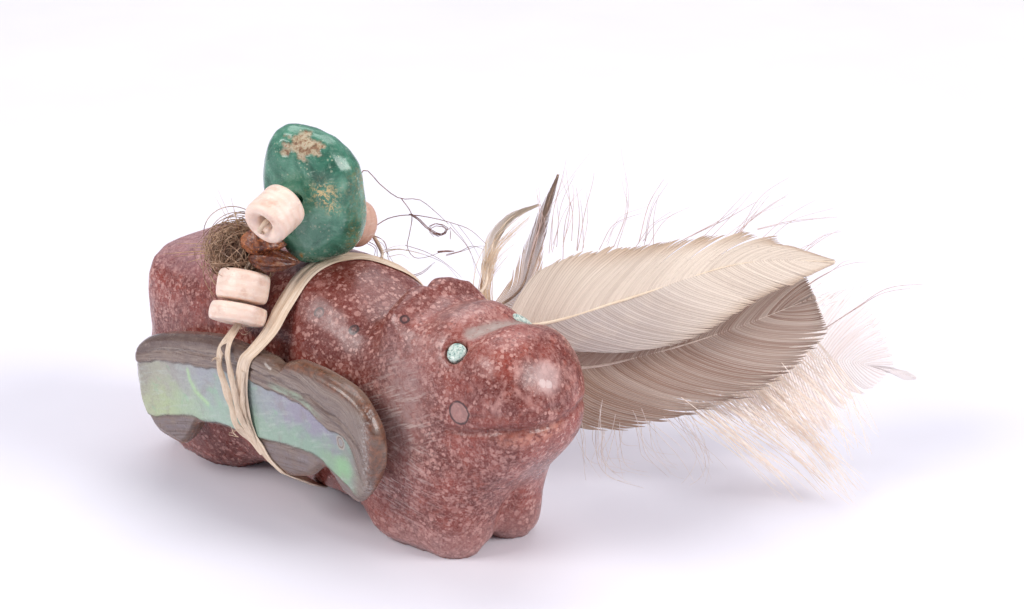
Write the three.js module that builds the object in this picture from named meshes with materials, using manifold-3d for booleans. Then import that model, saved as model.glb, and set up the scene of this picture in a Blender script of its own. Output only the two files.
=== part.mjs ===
// A small carved stone bear with a tied bundle: millimetres, +Z up, +X towards the head, +Y its left.
// Stone pieces are written as fields, negative inside, whose zero surfaces are then meshed.
import * as THREE from "three";
import { mergeVertices } from "three/addons/utils/BufferGeometryUtils.js";
import Module from "manifold-3d";

// The bear: its length along X, its height and its legs
const RUMP_X = -39.8;
const MUZZLE_X = 42.6;
const BACK_Z = 37.4;
const BELLY_Z = 1.9;
const FLANK_HALF_WIDTH = 12.6;
const FRONT_LEG = { rear: 12.4, front: 29.3, middle: 0.8, outer: 9.4, inner: 0.4, top: 17 };
const HIND_LEG = { rear: RUMP_X + 4, front: RUMP_X + 21.3, middle: 0.2, outer: 10.7, inner: 0.4, top: 16 };
const EAR = { x: 15.5, inner: 2.2, outer: 6.6, sink: 0.5, radius: 1.9 };
const EYE = { x: 28.4, y: 7.5, below: 3.6, radius: 1.45, height: 1.3, proud: 0.25 };
const MOUTH = { pivotX: 30, halfSweep: 92, radius: 0.7, depth: 0.4 };

// Clearance between touching pieces, and the size below which a cut's leftovers are closed up
const GAP = 0.3;
const SLIVER = 0.002;

// The bundle leans on the upper edge of the right flank, and its places are measured from there
const onShoulder = (x, inward, rise) => [x, inward - FLANK_HALF_WIDTH, BACK_Z + rise];
const NUGGET = { centre: onShoulder(-6.2, 8.9, 11), turn: 24, thickness: 8.4, rounding: 3.8 };
const nuggetHalf = NUGGET.thickness / 2;
const UPPER_BEAD = { axis: [0.115, -0.911, -0.35], radius: 3.9, length: 6.4 };
UPPER_BEAD.centre = onShoulder(-4.2, 4.4 - nuggetHalf, 10.2);
const DISC_BEAD = { radius: 4.55, length: 3.0 };
const THICK_BEAD = { axis: [-0.2, 0.45, 0.87], radius: 4.2, length: 4.8 };
THICK_BEAD.centre = onShoulder(-9.9, 3.05 - DISC_BEAD.radius, -2.4);
const FAR_BEAD = { axis: [0, 0.92, -0.38], radius: 3.6, length: 4.4 };
FAR_BEAD.centre = onShoulder(-5.1, 12.3 + nuggetHalf, 4.2);
const BEAD_HOLE = 1.15;
const BEAD_EDGE = 0.7;
const HUSK = { centre: onShoulder(-7.3, 2.2, 2.2), axis: [0.72, 0.69, -0.1], length: 7, radius: 2.5 };
const TUFT = { centre: onShoulder(-15.4, 1, 2.4), radii: [3.9, 3.6, 4.2] };

// The abalone strip on the right flank: z is the height of its upper edge
const STRIP = { rear: -33.6, front: 23.8, z: BACK_Z - 10.6, thickness: 3.6 };
const STRIP_CLEARANCE = 0.45;

// The sinew
const TIE = { axisY: -1.5, axisZ: 18, thickness: 0.7, steps: 52 };
const STRAND_RADIUS = 0.5;

// The feathers, whose quills lie one above another
const LOWEST_QUILL_Z = 19.4;
const QUILL_PITCH = 2.8;
const QUILL_RADIUS = 0.55;
const VANE_EDGE = 0.22;

// Sculpting field helpers
const { min, max, abs, hypot, pow, sin, cos, sign, PI } = Math;
const radians = (degrees) => (degrees * PI) / 180;

/** The lower of two fields, with a fillet of about the given size between them. */
function blend(a, b, size) {
  const near = max(size - abs(a - b), 0) / size;
  return min(a, b) - (near * near * size) / 4;
}

/** The higher of two fields, with a rounded edge of about the given size between them. */
function carve(a, b, size) {
  return -blend(-a, -b, size);
}

/** A smooth curve through a few stations, each [position, value], flat beyond its ends. */
function profile(stations) {
  const slope = stations.map(([x, v], i) => {
    const [x0, v0] = stations[max(i - 1, 0)];
    const [x1, v1] = stations[min(i + 1, stations.length - 1)];
    return (v1 - v0) / (x1 - x0);
  });
  return (x) => {
    if (x <= stations[0][0]) return stations[0][1];
    const i = stations.findIndex(([at]) => at > x);
    if (i < 0) return stations[stations.length - 1][1];
    const [x0, v0] = stations[i - 1];
    const [x1, v1] = stations[i];
    const w = x1 - x0;
    const t = (x - x0) / w;
    const u = 1 - t;
    return (
      v0 * u * u * (1 + 2 * t) +
      v1 * t * t * (1 + 2 * u) +
      slope[i - 1] * w * t * u * u -
      slope[i] * w * t * t * u
    );
  };
}

/** Distance to a straight rod with round ends. */
function rod(p, a, b, radius) {
  const ab = [b[0] - a[0], b[1] - a[1], b[2] - a[2]];
  const ap = [p[0] - a[0], p[1] - a[1], p[2] - a[2]];
  const along = (ap[0] * ab[0] + ap[1] * ab[1] + ap[2] * ab[2]) / (ab[0] ** 2 + ab[1] ** 2 + ab[2] ** 2);
  const t = min(max(along, 0), 1);
  return hypot(ap[0] - ab[0] * t, ap[1] - ab[1] * t, ap[2] - ab[2] * t) - radius;
}

/** Distance to an upright box with rounded corners, by its centre and half sizes. */
function roundedBox(p, centre, half, radius) {
  const q = p.map((v, i) => abs(v - centre[i]) - half[i] + radius);
  const outside = hypot(max(q[0], 0), max(q[1], 0), max(q[2], 0));
  return outside + min(max(q[0], q[1], q[2]), 0) - radius;
}

// Outlines of the bear along its length
const topLine = profile([
  [-38, BACK_Z - 4.2],
  [-28, BACK_Z - 3.0],
  [-14, BACK_Z - 1.0],
  [-2, BACK_Z],
  [6, BACK_Z - 1.8],
  [11.5, BACK_Z - 3.4],
  [17, BACK_Z - 0.8],
  [24, BACK_Z + 0.2],
  [29, BACK_Z - 0.6],
  [34, BACK_Z - 0.9],
  [38, BACK_Z - 2.4],
  [42, BACK_Z - 5.5],
]);
const underLine = profile([
  [-38, BELLY_Z + 3],
  [-28, BELLY_Z + 0.4],
  [-8, BELLY_Z],
  [20, BELLY_Z + 1],
  [28, BELLY_Z + 3.4],
  [33, BELLY_Z + 9.2],
  [37, BELLY_Z + 13.2],
  [42, BELLY_Z + 17],
]);
const shoulderSquareness = profile([
  [-38, 4.2],
  [-26, 3.2],
  [-10, 2.6],
  [20, 2.6],
  [36, 3],
]);
const halfWidthLine = profile([
  [-38, FLANK_HALF_WIDTH - 1.2],
  [-24, FLANK_HALF_WIDTH],
  [2, FLANK_HALF_WIDTH],
  [14, FLANK_HALF_WIDTH - 0.8],
  [24, FLANK_HALF_WIDTH - 1.8],
  [32, FLANK_HALF_WIDTH - 2.8],
  [42, FLANK_HALF_WIDTH - 4.2],
]);

/** Torso and head in one: a squarish section swept along the outlines, cut off round at both ends. */
function trunk([x, y, z]) {
  const top = topLine(x);
  const under = underLine(x);
  const halfHeight = (top - under) / 2;
  const rise = (z - (top + under) / 2) / halfHeight;
  const halfWidth = halfWidthLine(x) * (1 - 0.1 * min(rise, 0) ** 2);
  const squareness = rise > 0 ? shoulderSquareness(x) : 3.6;
  const across = pow(abs(y) / halfWidth, squareness);
  const upright = pow(abs(rise), squareness);
  const section = (pow(across + upright, 1 / squareness) - 1) * min(halfWidth, halfHeight);
  const rumpLean = 0.14;
  const rump = RUMP_X - x + rumpLean * max(32 - z, 0);
  const muzzle = x - MUZZLE_X + 0.06 * abs(z - 26);
  return carve(carve(section, rump, 4.4), muzzle, 7.5);
}

/** A pair of leg columns, mirrored about their own middle plane. */
function legs([x, y, z], leg) {
  const flare = 0.014 * max(z, 0) ** 2;
  const outer = leg.outer + flare;
  const centre = [(leg.rear + leg.front) / 2, (leg.inner + outer) / 2, leg.top / 2 - 4];
  const half = [(leg.front - leg.rear) / 2, (outer - leg.inner) / 2, leg.top / 2 + 4];
  return roundedBox([x, abs(y - leg.middle), z], centre, half, 4.6);
}

// The crease between the two front feet, from the ground up to the chest
const CLEFT = [[29.6, 0.8, -3], [30.3, 0.8, 5], [31.2, 0.9, 8], [33.4, 1.1, 10.6]];

/** The whole stone, before its feet are ground flat. */
function bearField(p) {
  const [x, y, z] = p;
  const mirrored = [x, abs(y), z];
  let stone = blend(trunk(p), legs(p, FRONT_LEG), 6.5);
  stone = blend(stone, legs(p, HIND_LEG), 6);
  const soleEdge = 1.6;
  stone = carve(stone, -z - soleEdge, 5);
  for (const [from, to] of [[CLEFT[0], CLEFT[1]], [CLEFT[1], CLEFT[2]], [CLEFT[2], CLEFT[3]]]) {
    stone = carve(stone, -rod(p, from, to, 0.8), 1.4);
  }
  const cleftRear = rod(mirrored, [RUMP_X + 2.4, 0, -4], [RUMP_X + 1.2, 0, 7], 1.3);
  stone = carve(stone, -cleftRear, 1.6);
  const underside = rod(mirrored, [RUMP_X - 10, 0, -1.2], [MUZZLE_X + 8, 0, -1.2], 2.2);
  stone = carve(stone, -underside, 1.5);
  const neck = rod(mirrored, [11, 0, BACK_Z + 1.6], [10, 14, BACK_Z + 3.4], 3);
  stone = carve(stone, -neck, 6);
  const earZ = BACK_Z - EAR.sink;
  const ear = rod(mirrored, [EAR.x, EAR.inner, earZ], [EAR.x + 0.9, EAR.outer, earZ - 1.9], EAR.radius);
  stone = blend(stone, ear, 4);
  const browHollow = rod(mirrored, [20, 0, BACK_Z + 1.6], [19.8, 9, BACK_Z + 0.6], 2);
  stone = carve(stone, -browHollow, 2.6);
  const bridge = rod(mirrored, [29.6, 0, BACK_Z + 0.1], [29.2, 8, BACK_Z - 1.4], 1.4);
  stone = carve(stone, -bridge, 2);
  return stone;
}

/** Pulls a point onto the zero surface of a field, moving it at most a given reach each way. */
function settle(field, start, reach) {
  const step = 0.01;
  let p = start;
  for (let round = 0; round < 4; round++) {
    const here = field(p);
    const slope = start.map((_, axis) => {
      const q = [...p];
      q[axis] += step;
      return (field(q) - here) / step;
    });
    const steep = slope[0] ** 2 + slope[1] ** 2 + slope[2] ** 2;
    if (steep < 1e-6) break;
    p = p.map((v, axis) => {
      const moved = v - (here * slope[axis]) / steep;
      return min(max(moved, start[axis] - reach), start[axis] + reach);
    });
  }
  return p;
}

// A cell's corners are numbered by three bits, one for each axis, and its edges by axis and first corner.
const CORNERS = [0, 1, 2, 3, 4, 5, 6, 7];
const AXES = [0, 1, 2];
const edgeName = (axis, corner) => axis * 8 + corner;
const CELL_EDGES = AXES.flatMap((axis) =>
  CORNERS.filter((corner) => !(corner & (1 << axis))).map((corner) => [axis, corner]),
);

/** Groups the crossed edges of one cell: each group is one sheet of the surface through it. */
function sheetsOf(inside) {
  const sheet = new Map();
  for (const [axis, corner] of CELL_EDGES) {
    const name = edgeName(axis, corner);
    if (inside[corner] !== inside[corner | (1 << axis)]) sheet.set(name, name);
  }
  const join = (a, b) => {
    const [keep, drop] = [sheet.get(a), sheet.get(b)];
    for (const [name, group] of sheet) if (group === drop) sheet.set(name, keep);
  };
  for (const normal of AXES) {
    for (const level of [0, 1 << normal]) {
      const inFace = (corner) => (corner & (1 << normal)) === level;
      const touching = CELL_EDGES.filter(([axis, corner]) => axis !== normal && inFace(corner))
        .filter(([axis, corner]) => sheet.has(edgeName(axis, corner)));
      if (touching.length === 2) join(edgeName(...touching[0]), edgeName(...touching[1]));
      if (touching.length !== 4) continue;
      for (const corner of CORNERS.filter((c) => inFace(c) && inside[c])) {
        const meets = ([axis, first]) => first === corner || (first | (1 << axis)) === corner;
        const [a, b] = touching.filter(meets);
        join(edgeName(...a), edgeName(...b));
      }
    }
  }
  return sheet;
}

/** Meshes the zero surface of a field on an uneven grid, with one vertex for each sheet in a cell. */
function meshField(field, xs, ys, zs) {
  const grid = [xs, ys, zs];
  const size = grid.map((lines) => lines.length);
  const at = (i, j, k) => (i * size[1] + j) * size[2] + k;
  const value = new Float64Array(size[0] * size[1] * size[2]);
  xs.forEach((x, i) => ys.forEach((y, j) => zs.forEach((z, k) => {
    value[at(i, j, k)] = field([x, y, z]);
  })));
  const positions = [];
  const vertexOf = new Map();
  const vertexKey = (cell, axis, corner) => at(...cell) * 24 + edgeName(axis, corner);
  const cornerOf = (cell, corner) => cell.map((v, axis) => v + ((corner >> axis) & 1));
  for (let i = 0; i < size[0] - 1; i++) {
    for (let j = 0; j < size[1] - 1; j++) {
      for (let k = 0; k < size[2] - 1; k++) {
        const cell = [i, j, k];
        const levels = CORNERS.map((corner) => value[at(...cornerOf(cell, corner))]);
        const inside = levels.map((level) => level < 0);
        const sheet = sheetsOf(inside);
        const reach = 0.45 * min(...AXES.map((axis) => grid[axis][cell[axis] + 1] - grid[axis][cell[axis]]));
        for (const group of new Set(sheet.values())) {
          const edges = CELL_EDGES.filter(([axis, corner]) => sheet.get(edgeName(axis, corner)) === group);
          const sum = [0, 0, 0];
          for (const [axis, corner] of edges) {
            const first = levels[corner];
            const share = first / (first - levels[corner | (1 << axis)]);
            const from = cornerOf(cell, corner).map((v, d) => grid[d][v]);
            from[axis] += share * (grid[axis][cell[axis] + 1] - grid[axis][cell[axis]]);
            AXES.forEach((d) => { sum[d] += from[d] / edges.length; });
            vertexOf.set(vertexKey(cell, axis, corner), positions.length / 3);
          }
          positions.push(...settle(field, sum, reach));
        }
      }
    }
  }
  const point = (v) => new THREE.Vector3().fromArray(positions, 3 * v);
  const index = [];
  const addQuad = ([a, b, c, d]) => {
    if (point(a).distanceTo(point(c)) < point(b).distanceTo(point(d))) index.push(a, b, c, a, c, d);
    else index.push(b, c, d, b, d, a);
  };
  for (let i = 1; i < size[0] - 1; i++) {
    for (let j = 1; j < size[1] - 1; j++) {
      for (let k = 1; k < size[2] - 1; k++) {
        const from = [i, j, k];
        const inside = value[at(i, j, k)] < 0;
        for (const axis of AXES) {
          const to = from.map((v, d) => v + (d === axis ? 1 : 0));
          if (inside === value[at(...to)] < 0) continue;
          const [u, w] = [(axis + 1) % 3, (axis + 2) % 3];
          const turn = [[1, 1], [0, 1], [0, 0], [1, 0]].map(([du, dw]) => {
            const cell = [...from];
            cell[u] -= du;
            cell[w] -= dw;
            return vertexOf.get(vertexKey(cell, axis, (du << u) | (dw << w)));
          });
          addQuad(inside ? turn : turn.reverse());
        }
      }
    }
  }
  const geometry = new THREE.BufferGeometry();
  geometry.setAttribute("position", new THREE.Float32BufferAttribute(positions, 3));
  geometry.setIndex(index);
  return geometry;
}

/** Grid lines from start to end whose spacing is worked out at each place. */
function gridLines(start, end, spacingAt) {
  const lines = [start];
  while (lines[lines.length - 1] < end) {
    const last = lines[lines.length - 1];
    lines.push(last + spacingAt(last));
  }
  return lines;
}

// Solids, skins and meshes
const wasm = await Module();
wasm.setup();

/** A closed mesh as a solid that can be joined and cut. */
function solidOf(geometry) {
  const bare = geometry.clone();
  bare.deleteAttribute("normal");
  bare.deleteAttribute("uv");
  const merged = mergeVertices(bare, 1e-4);
  return new wasm.Manifold(new wasm.Mesh({
    numProp: 3,
    vertProperties: new Float32Array(merged.attributes.position.array),
    triVerts: new Uint32Array(merged.index.array),
  }));
}

/** A solid back as geometry, without the slivers that a cut leaves. */
function geometryOf(solid) {
  const mesh = solid.getMesh();
  const cut = new THREE.BufferGeometry();
  cut.setAttribute("position", new THREE.Float32BufferAttribute(mesh.vertProperties, 3));
  cut.setIndex(new THREE.Uint32BufferAttribute(mesh.triVerts, 1));
  const geometry = mergeVertices(cut, SLIVER);
  const corners = Array.from(geometry.index.array);
  const kept = [];
  for (let i = 0; i < corners.length; i += 3) {
    const [a, b, c] = corners.slice(i, i + 3);
    if (a !== b && b !== c && c !== a) kept.push(a, b, c);
  }
  geometry.setIndex(kept);
  return geometry;
}

/** Turns a closed geometry's faces outwards. */
function facedOut(geometry) {
  const index = geometry.index.array;
  const at = (i) => new THREE.Vector3().fromBufferAttribute(geometry.attributes.position, index[i]);
  let volume = 0;
  for (let i = 0; i < index.length; i += 3) volume += at(i).dot(at(i + 1).cross(at(i + 2)));
  if (volume < 0) geometry.setIndex(Array.from(index).reverse());
  return geometry;
}

/** Joins rings of points into one closed skin: a tube with fans over its ends, or a loop. */
function skin(rings, loop = false) {
  const around = rings[0].length;
  const points = rings.flat();
  const index = [];
  const spans = loop ? rings.length : rings.length - 1;
  for (let i = 0; i < spans; i++) {
    const here = i * around;
    const next = ((i + 1) % rings.length) * around;
    for (let j = 0; j < around; j++) {
      const k = (j + 1) % around;
      index.push(here + j, here + k, next + k, here + j, next + k, next + j);
    }
  }
  const cover = (ring, first, turned) => {
    const centre = new THREE.Vector3();
    ring.forEach((p) => centre.addScaledVector(p, 1 / around));
    points.push(centre);
    for (let j = 0; j < around; j++) {
      const pair = [first + j, first + ((j + 1) % around)];
      index.push(points.length - 1, ...(turned ? pair.reverse() : pair));
    }
  };
  if (!loop) {
    cover(rings[0], 0, true);
    cover(rings[rings.length - 1], (rings.length - 1) * around, false);
  }
  const geometry = new THREE.BufferGeometry().setFromPoints(points);
  geometry.setIndex(index);
  return facedOut(geometry);
}

/** A round cord along a smooth path through a few points. */
function cord(points, radius, steps, sides) {
  const path = new THREE.CatmullRomCurve3(points, false, "centripetal");
  const frames = path.computeFrenetFrames(steps, false);
  const rings = frames.tangents.map((_, i) => {
    const centre = path.getPointAt(i / steps);
    return Array.from({ length: sides }, (_, j) => {
      const turn = (2 * PI * j) / sides;
      return centre.clone()
        .addScaledVector(frames.normals[i], radius * cos(turn))
        .addScaledVector(frames.binormals[i], radius * sin(turn));
    });
  });
  return skin(rings);
}

/** A point on a superellipse: cosine and sine of the angle, flattened towards a rounded box. */
function squared(angle, power) {
  const flat = (v) => sign(v) * pow(abs(v), power);
  return [flat(cos(angle)), flat(sin(angle))];
}

/** The outward unit normal of a field at a point. */
function normalOf(field, p) {
  const step = 0.02;
  const here = field(p);
  return new THREE.Vector3(...AXES.map((axis) => {
    const q = [...p];
    q[axis] += step;
    return field(q) - here;
  })).normalize();
}

/** The first place along a line, coming from far out towards a start, where a field falls to a level. */
function landing(field, start, direction, reach, level) {
  const at = (t) => start.map((v, axis) => v + direction[axis] * t);
  let far = reach;
  while (far > 0 && field(at(far)) > level) far -= 0.2;
  let near = far + 0.2;
  for (let round = 0; round < 12; round++) {
    const middle = (near + far) / 2;
    if (field(at(middle)) > level) near = middle;
    else far = middle;
  }
  return far;
}

const LOOKS = {
  stone: { color: "#7a3d33", roughness: 0.35, metalness: 0 },
  turquoise: { color: "#1f6b52", roughness: 0.25, metalness: 0 },
  paleTurquoise: { color: "#a9d3c6", roughness: 0.4, metalness: 0 },
  shellBead: { color: "#e9cdb9", roughness: 0.45, metalness: 0 },
  abalone: { color: "#93a398", roughness: 0.25, metalness: 0 },
  sinew: { color: "#c2ab87", roughness: 0.6, metalness: 0 },
  husk: { color: "#5a2d18", roughness: 0.35, metalness: 0 },
  hair: { color: "#6e5540", roughness: 0.7, metalness: 0 },
  cream: { color: "#d9c9b0", roughness: 0.8, metalness: 0 },
  brown: { color: "#85705f", roughness: 0.8, metalness: 0 },
  pale: { color: "#efdccf", roughness: 0.8, metalness: 0 },
};

const fetish = new THREE.Group();

/** Adds one named piece to the fetish. */
function addPiece(name, geometry, look) {
  geometry.computeVertexNormals();
  const piece = new THREE.Mesh(geometry, new THREE.MeshStandardMaterial(LOOKS[look]));
  piece.name = name;
  fetish.add(piece);
  return piece;
}

// Bear and eyes

/** A disc that stands along a direction, as the eyes and their sockets do. */
function disc(radius, height, centre, direction) {
  const turn = new THREE.Quaternion().setFromUnitVectors(new THREE.Vector3(0, 1, 0), direction);
  const placed = new THREE.Matrix4().compose(centre, turn, new THREE.Vector3(1, 1, 1));
  return new THREE.CylinderGeometry(radius, radius, height, 16).applyMatrix4(placed);
}

/** The surface point and outward normal of one eye: side is -1 for its right, 1 for its left. */
function eyePlace(side) {
  const spot = settle(bearField, [EYE.x, side * EYE.y, BACK_Z - EYE.below], 2);
  return { spot: new THREE.Vector3(...spot), out: normalOf(bearField, spot) };
}

/** One inlaid eye: a disc with a low dome, set in its socket. */
function eye(side) {
  const { spot, out } = eyePlace(side);
  const dome = [[0, EYE.proud], [0.6, EYE.proud * 0.7], [1, -0.1], [1, -EYE.height], [0, -EYE.height]];
  const profilePoints = dome.map(([r, h]) => new THREE.Vector2(r * EYE.radius, h));
  const geometry = new THREE.LatheGeometry(profilePoints.reverse(), 12);
  const turn = new THREE.Quaternion().setFromUnitVectors(new THREE.Vector3(0, 1, 0), out);
  geometry.applyMatrix4(new THREE.Matrix4().compose(spot, turn, new THREE.Vector3(1, 1, 1)));
  return geometry;
}

const mouthHeight = profile([
  [0, 24.9],
  [15, 25.0],
  [45, 24.6],
  [75, 23.2],
  [100, 22.6],
]);

/** The cutter of the mouth: a cord that runs round the muzzle just outside the stone. */
function mouthCutter() {
  const count = 23;
  const points = Array.from({ length: count }, (_, i) => {
    const sweep = MOUTH.halfSweep * ((2 * i) / (count - 1) - 1);
    const direction = [cos(radians(sweep)), sin(radians(sweep)), 0];
    const start = [MOUTH.pivotX, 0, mouthHeight(abs(sweep))];
    const fading = 0.45 * pow(abs(sweep) / MOUTH.halfSweep, 6);
    const reach = landing(bearField, start, direction, 20, 0) + MOUTH.radius - MOUTH.depth + fading;
    return new THREE.Vector3(...start).addScaledVector(new THREE.Vector3(...direction), reach);
  });
  return cord(points, MOUTH.radius, 36, 6);
}

function bearGeometry() {
  const rough = meshField(
    bearField,
    gridLines(RUMP_X - 4.2, MUZZLE_X + 5.4, (x) => (x > 8 && x < MUZZLE_X - 0.6 ? 2 : 3.8)),
    gridLines(-FLANK_HALF_WIDTH - 6.9, FLANK_HALF_WIDTH + 6.4, (y) => (abs(y) < 3.6 ? 1.4 : 2.4)),
    gridLines(-6, BACK_Z + 6.6, (z) => (z > BACK_Z - 6.4 ? 1.6 : 3)),
  );
  const ground = new THREE.BoxGeometry(4 * MUZZLE_X, 4 * MUZZLE_X, BACK_Z).translate(0, 0, -BACK_Z / 2);
  let stone = solidOf(rough).subtract(solidOf(ground)).subtract(solidOf(mouthCutter()));
  for (const side of [-1, 1]) {
    const { spot, out } = eyePlace(side);
    const depth = EYE.height + GAP;
    const socket = disc(EYE.radius + GAP, depth * 2, spot, out);
    stone = stone.subtract(solidOf(socket));
  }
  return geometryOf(stone);
}

addPiece("bear_carving", bearGeometry(), "stone");
addPiece("eye_right", eye(-1), "paleTurquoise");
addPiece("eye_left", eye(1), "paleTurquoise");

// Places along a bead's own axis
const vector = (p) => new THREE.Vector3(...p);
const along = (bead, distance) =>
  vector(bead.centre).addScaledVector(vector(bead.axis).normalize(), distance);

// Abalone strip: how far its upper and lower edges lie above or below its height, along its length
const stripTop = profile([
  [-33.6, -10],
  [-31.3, -6.6],
  [-28, -4.5],
  [-20, -1.4],
  [-12, 0],
  [-1.4, 0],
  [1.2, -0.4],
  [5, 1.2],
  [11.7, 1.1],
  [17.6, -0.8],
  [21.8, -4.2],
  [23.8, -8.2],
]);
const stripBottom = profile([
  [-33.6, -12.2],
  [-31, -17.2],
  [-27, -19.6],
  [-22, -19.8],
  [-18.4, -15.6],
  [-10, -14.5],
  [-4, -15.8],
  [2, -17.9],
  [7, -16.6],
  [10.8, -13.9],
  [14.5, -16.4],
  [17.7, -17.3],
  [20.8, -14.8],
  [23.8, -9.4],
]);

const stripEdges = (x) => [STRIP.z + stripBottom(x), STRIP.z + stripTop(x)];

/** How far the right flank swells out behind the strip. */
function flankSwell() {
  const spacing = 2;
  let swell = 0;
  for (let x = STRIP.rear; x <= STRIP.front; x += spacing) {
    const [low, high] = stripEdges(x);
    for (let z = low; z <= high; z += spacing) {
      swell = max(swell, landing(bearField, [x, 0, z], [0, -1, 0], 2 * FLANK_HALF_WIDTH, 0));
    }
  }
  return swell;
}
STRIP.y = -flankSwell() - STRIP_CLEARANCE - STRIP.thickness / 2;

/** The strip as a field, for what is tied over it. */
function stripField([x, y, z]) {
  const [low, high] = stripEdges(x);
  const half = [1, STRIP.thickness / 2, (high - low) / 2];
  return roundedBox([0, y, z], [0, STRIP.y, (high + low) / 2], half, 0.9);
}

// Quills: they lie side by side on the left flank, under the sinew
const quillHeight = (place) => LOWEST_QUILL_Z + place * QUILL_PITCH;
const QUILL_STATIONS = [-4, 1.5, 7];

/** The stretch of a quill that lies on the left flank at a height. */
function quillOnFlank(z) {
  return QUILL_STATIONS.map((x) => {
    const spot = [x, landing(bearField, [x, 0, z], [0, 1, 0], 20, 0), z];
    return new THREE.Vector3(...spot).addScaledVector(normalOf(bearField, spot), GAP + QUILL_RADIUS);
  });
}
const lyingQuills = [0, 1, 2, 3, 4].map((place) => quillOnFlank(quillHeight(place)));

// Sinew: the flat tie goes once round bear, strip and quills. Its place along the bear and its width
// are given by the angle round the bear, from the back over the right flank and under the belly.
const tieX = profile([
  [-60, 3.4],
  [-40, 3.0],
  [-22, 1.4],
  [-8, -2.8],
  [4, -4.2],
  [20, -4.6],
  [34, -4.4],
  [48, -3.8],
  [60, -4.4],
  [70, -5.8],
  [84, -6.5],
  [98, -6.7],
  [108, -5.6],
  [118, -5.2],
  [136, -6.3],
  [155, -6.3],
  [180, -4.8],
  [205, -2.6],
  [230, 0.6],
  [255, 3.0],
  [300, 3.4],
]);
const tieWidth = profile([
  [0, 2.6],
  [30, 2.3],
  [48, 1.7],
  [80, 2.5],
  [104, 3.2],
  [122, 1.9],
  [150, 2.2],
]);

/** Bear, strip and quills together, as the tie feels them. */
function tiedField(p) {
  const reach = QUILL_RADIUS + 0.2;
  const quills = lyingQuills.flatMap(([from, middle, to]) => [
    rod(p, from.toArray(), middle.toArray(), reach),
    rod(p, middle.toArray(), to.toArray(), reach),
  ]);
  return min(bearField(p), stripField(p), ...quills);
}

/** The loop of the tie as points on its inner side, pulled tight, each with its outward direction. */
function pulledTie() {
  const stations = Array.from({ length: TIE.steps }, (_, i) => {
    const angle = -60 + (360 * i) / TIE.steps;
    const out = [0, -sin(radians(angle)), cos(radians(angle))];
    const start = [tieX(angle), TIE.axisY, TIE.axisZ];
    return { angle, out, start, reach: landing(tiedField, start, out, 26, GAP + 0.05) };
  });
  const beside = (i, step) => stations[(i + step + TIE.steps) % TIE.steps].reach;
  for (let round = 0; round < 300; round++) {
    stations.forEach((station, i) => {
      const [before, after] = [beside(i, -1), beside(i, 1)];
      const chord = (2 * cos(radians(360 / TIE.steps)) * before * after) / (before + after);
      station.reach = max(station.reach, chord);
    });
  }
  return stations.map(({ angle, out, start, reach }) => ({
    angle,
    out: vector(out),
    inner: vector(start).addScaledVector(vector(out), reach),
  }));
}
const tie = pulledTie();

/** The flat band itself. */
function tieGeometry() {
  return skin(tie.map(({ angle, out, inner }, i) => {
    const after = tie[(i + 1) % TIE.steps].inner;
    const before = tie[(i + TIE.steps - 1) % TIE.steps].inner;
    const ahead = after.clone().sub(before).normalize();
    const outward = out.clone().addScaledVector(ahead, -out.dot(ahead)).normalize();
    const side = ahead.clone().cross(outward);
    const halfWidth = tieWidth(angle) / 2;
    const at = (across, height) => inner.clone()
      .addScaledVector(side, across * halfWidth)
      .addScaledVector(outward, height * TIE.thickness);
    return [at(-1, 0.2), at(0, 0), at(1, 0.2), at(0.85, 0.8), at(0, 1), at(-0.85, 0.8)];
  }), true);
}

/** The middle of the band at an angle round the bear. */
function tieMiddle(angle) {
  const nearest = tie.reduce((best, station) =>
    (abs(station.angle - angle) < abs(best.angle - angle) ? station : best));
  return nearest.inner.clone().addScaledVector(nearest.out, TIE.thickness / 2);
}

// The strand leaves the band on the strip, runs up through the beads and the nugget and back down to it
DISC_BEAD.axis = THICK_BEAD.axis;
DISC_BEAD.centre = along(THICK_BEAD, -(THICK_BEAD.length + DISC_BEAD.length) / 2 - GAP).toArray();
const STRAND_Y = STRIP.y - STRIP.thickness / 2 - GAP - STRAND_RADIUS;
const onStrip = ([x, below]) => new THREE.Vector3(x, STRAND_Y, STRIP.z - below);
const STRAND_THROUGH_NUGGET = [
  along(UPPER_BEAD, -UPPER_BEAD.length / 2 + 1),
  along(UPPER_BEAD, -UPPER_BEAD.length / 2 - 0.8),
  along(FAR_BEAD, -FAR_BEAD.length / 2 - 0.8),
  along(FAR_BEAD, -FAR_BEAD.length / 2 + 1),
];
const strandPath = [
  tieMiddle(108),
  ...[[-7.6, 12.4], [-9.2, 8.8], [-9.9, 4.8], [-9.8, 0.6]].map(onStrip),
  along(DISC_BEAD, -DISC_BEAD.length / 2 - 0.6),
  along(DISC_BEAD, 0),
  along(THICK_BEAD, 0),
  along(THICK_BEAD, THICK_BEAD.length / 2 + 0.6),
  vector(onShoulder(-9.3, -2.1, 4.2)),
  along(UPPER_BEAD, UPPER_BEAD.length / 2 + 1),
  along(UPPER_BEAD, UPPER_BEAD.length / 2 - 0.6),
  ...STRAND_THROUGH_NUGGET,
  along(FAR_BEAD, FAR_BEAD.length / 2 - 0.6),
  along(FAR_BEAD, FAR_BEAD.length / 2 + 0.6),
  vector(onShoulder(-4.6, 20.4, 1.4)),
  vector(onShoulder(-2, 19.5, -0.2)),
  tieMiddle(-18),
];
const sideStrandPath = [
  along(DISC_BEAD, -DISC_BEAD.length / 2 - 1.3).add(vector([-0.5, 0.1, 0])),
  ...[[-7.6, 0.4], [-7.9, 4.4], [-7.6, 9.2]].map(onStrip),
  tieMiddle(102),
];

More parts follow.
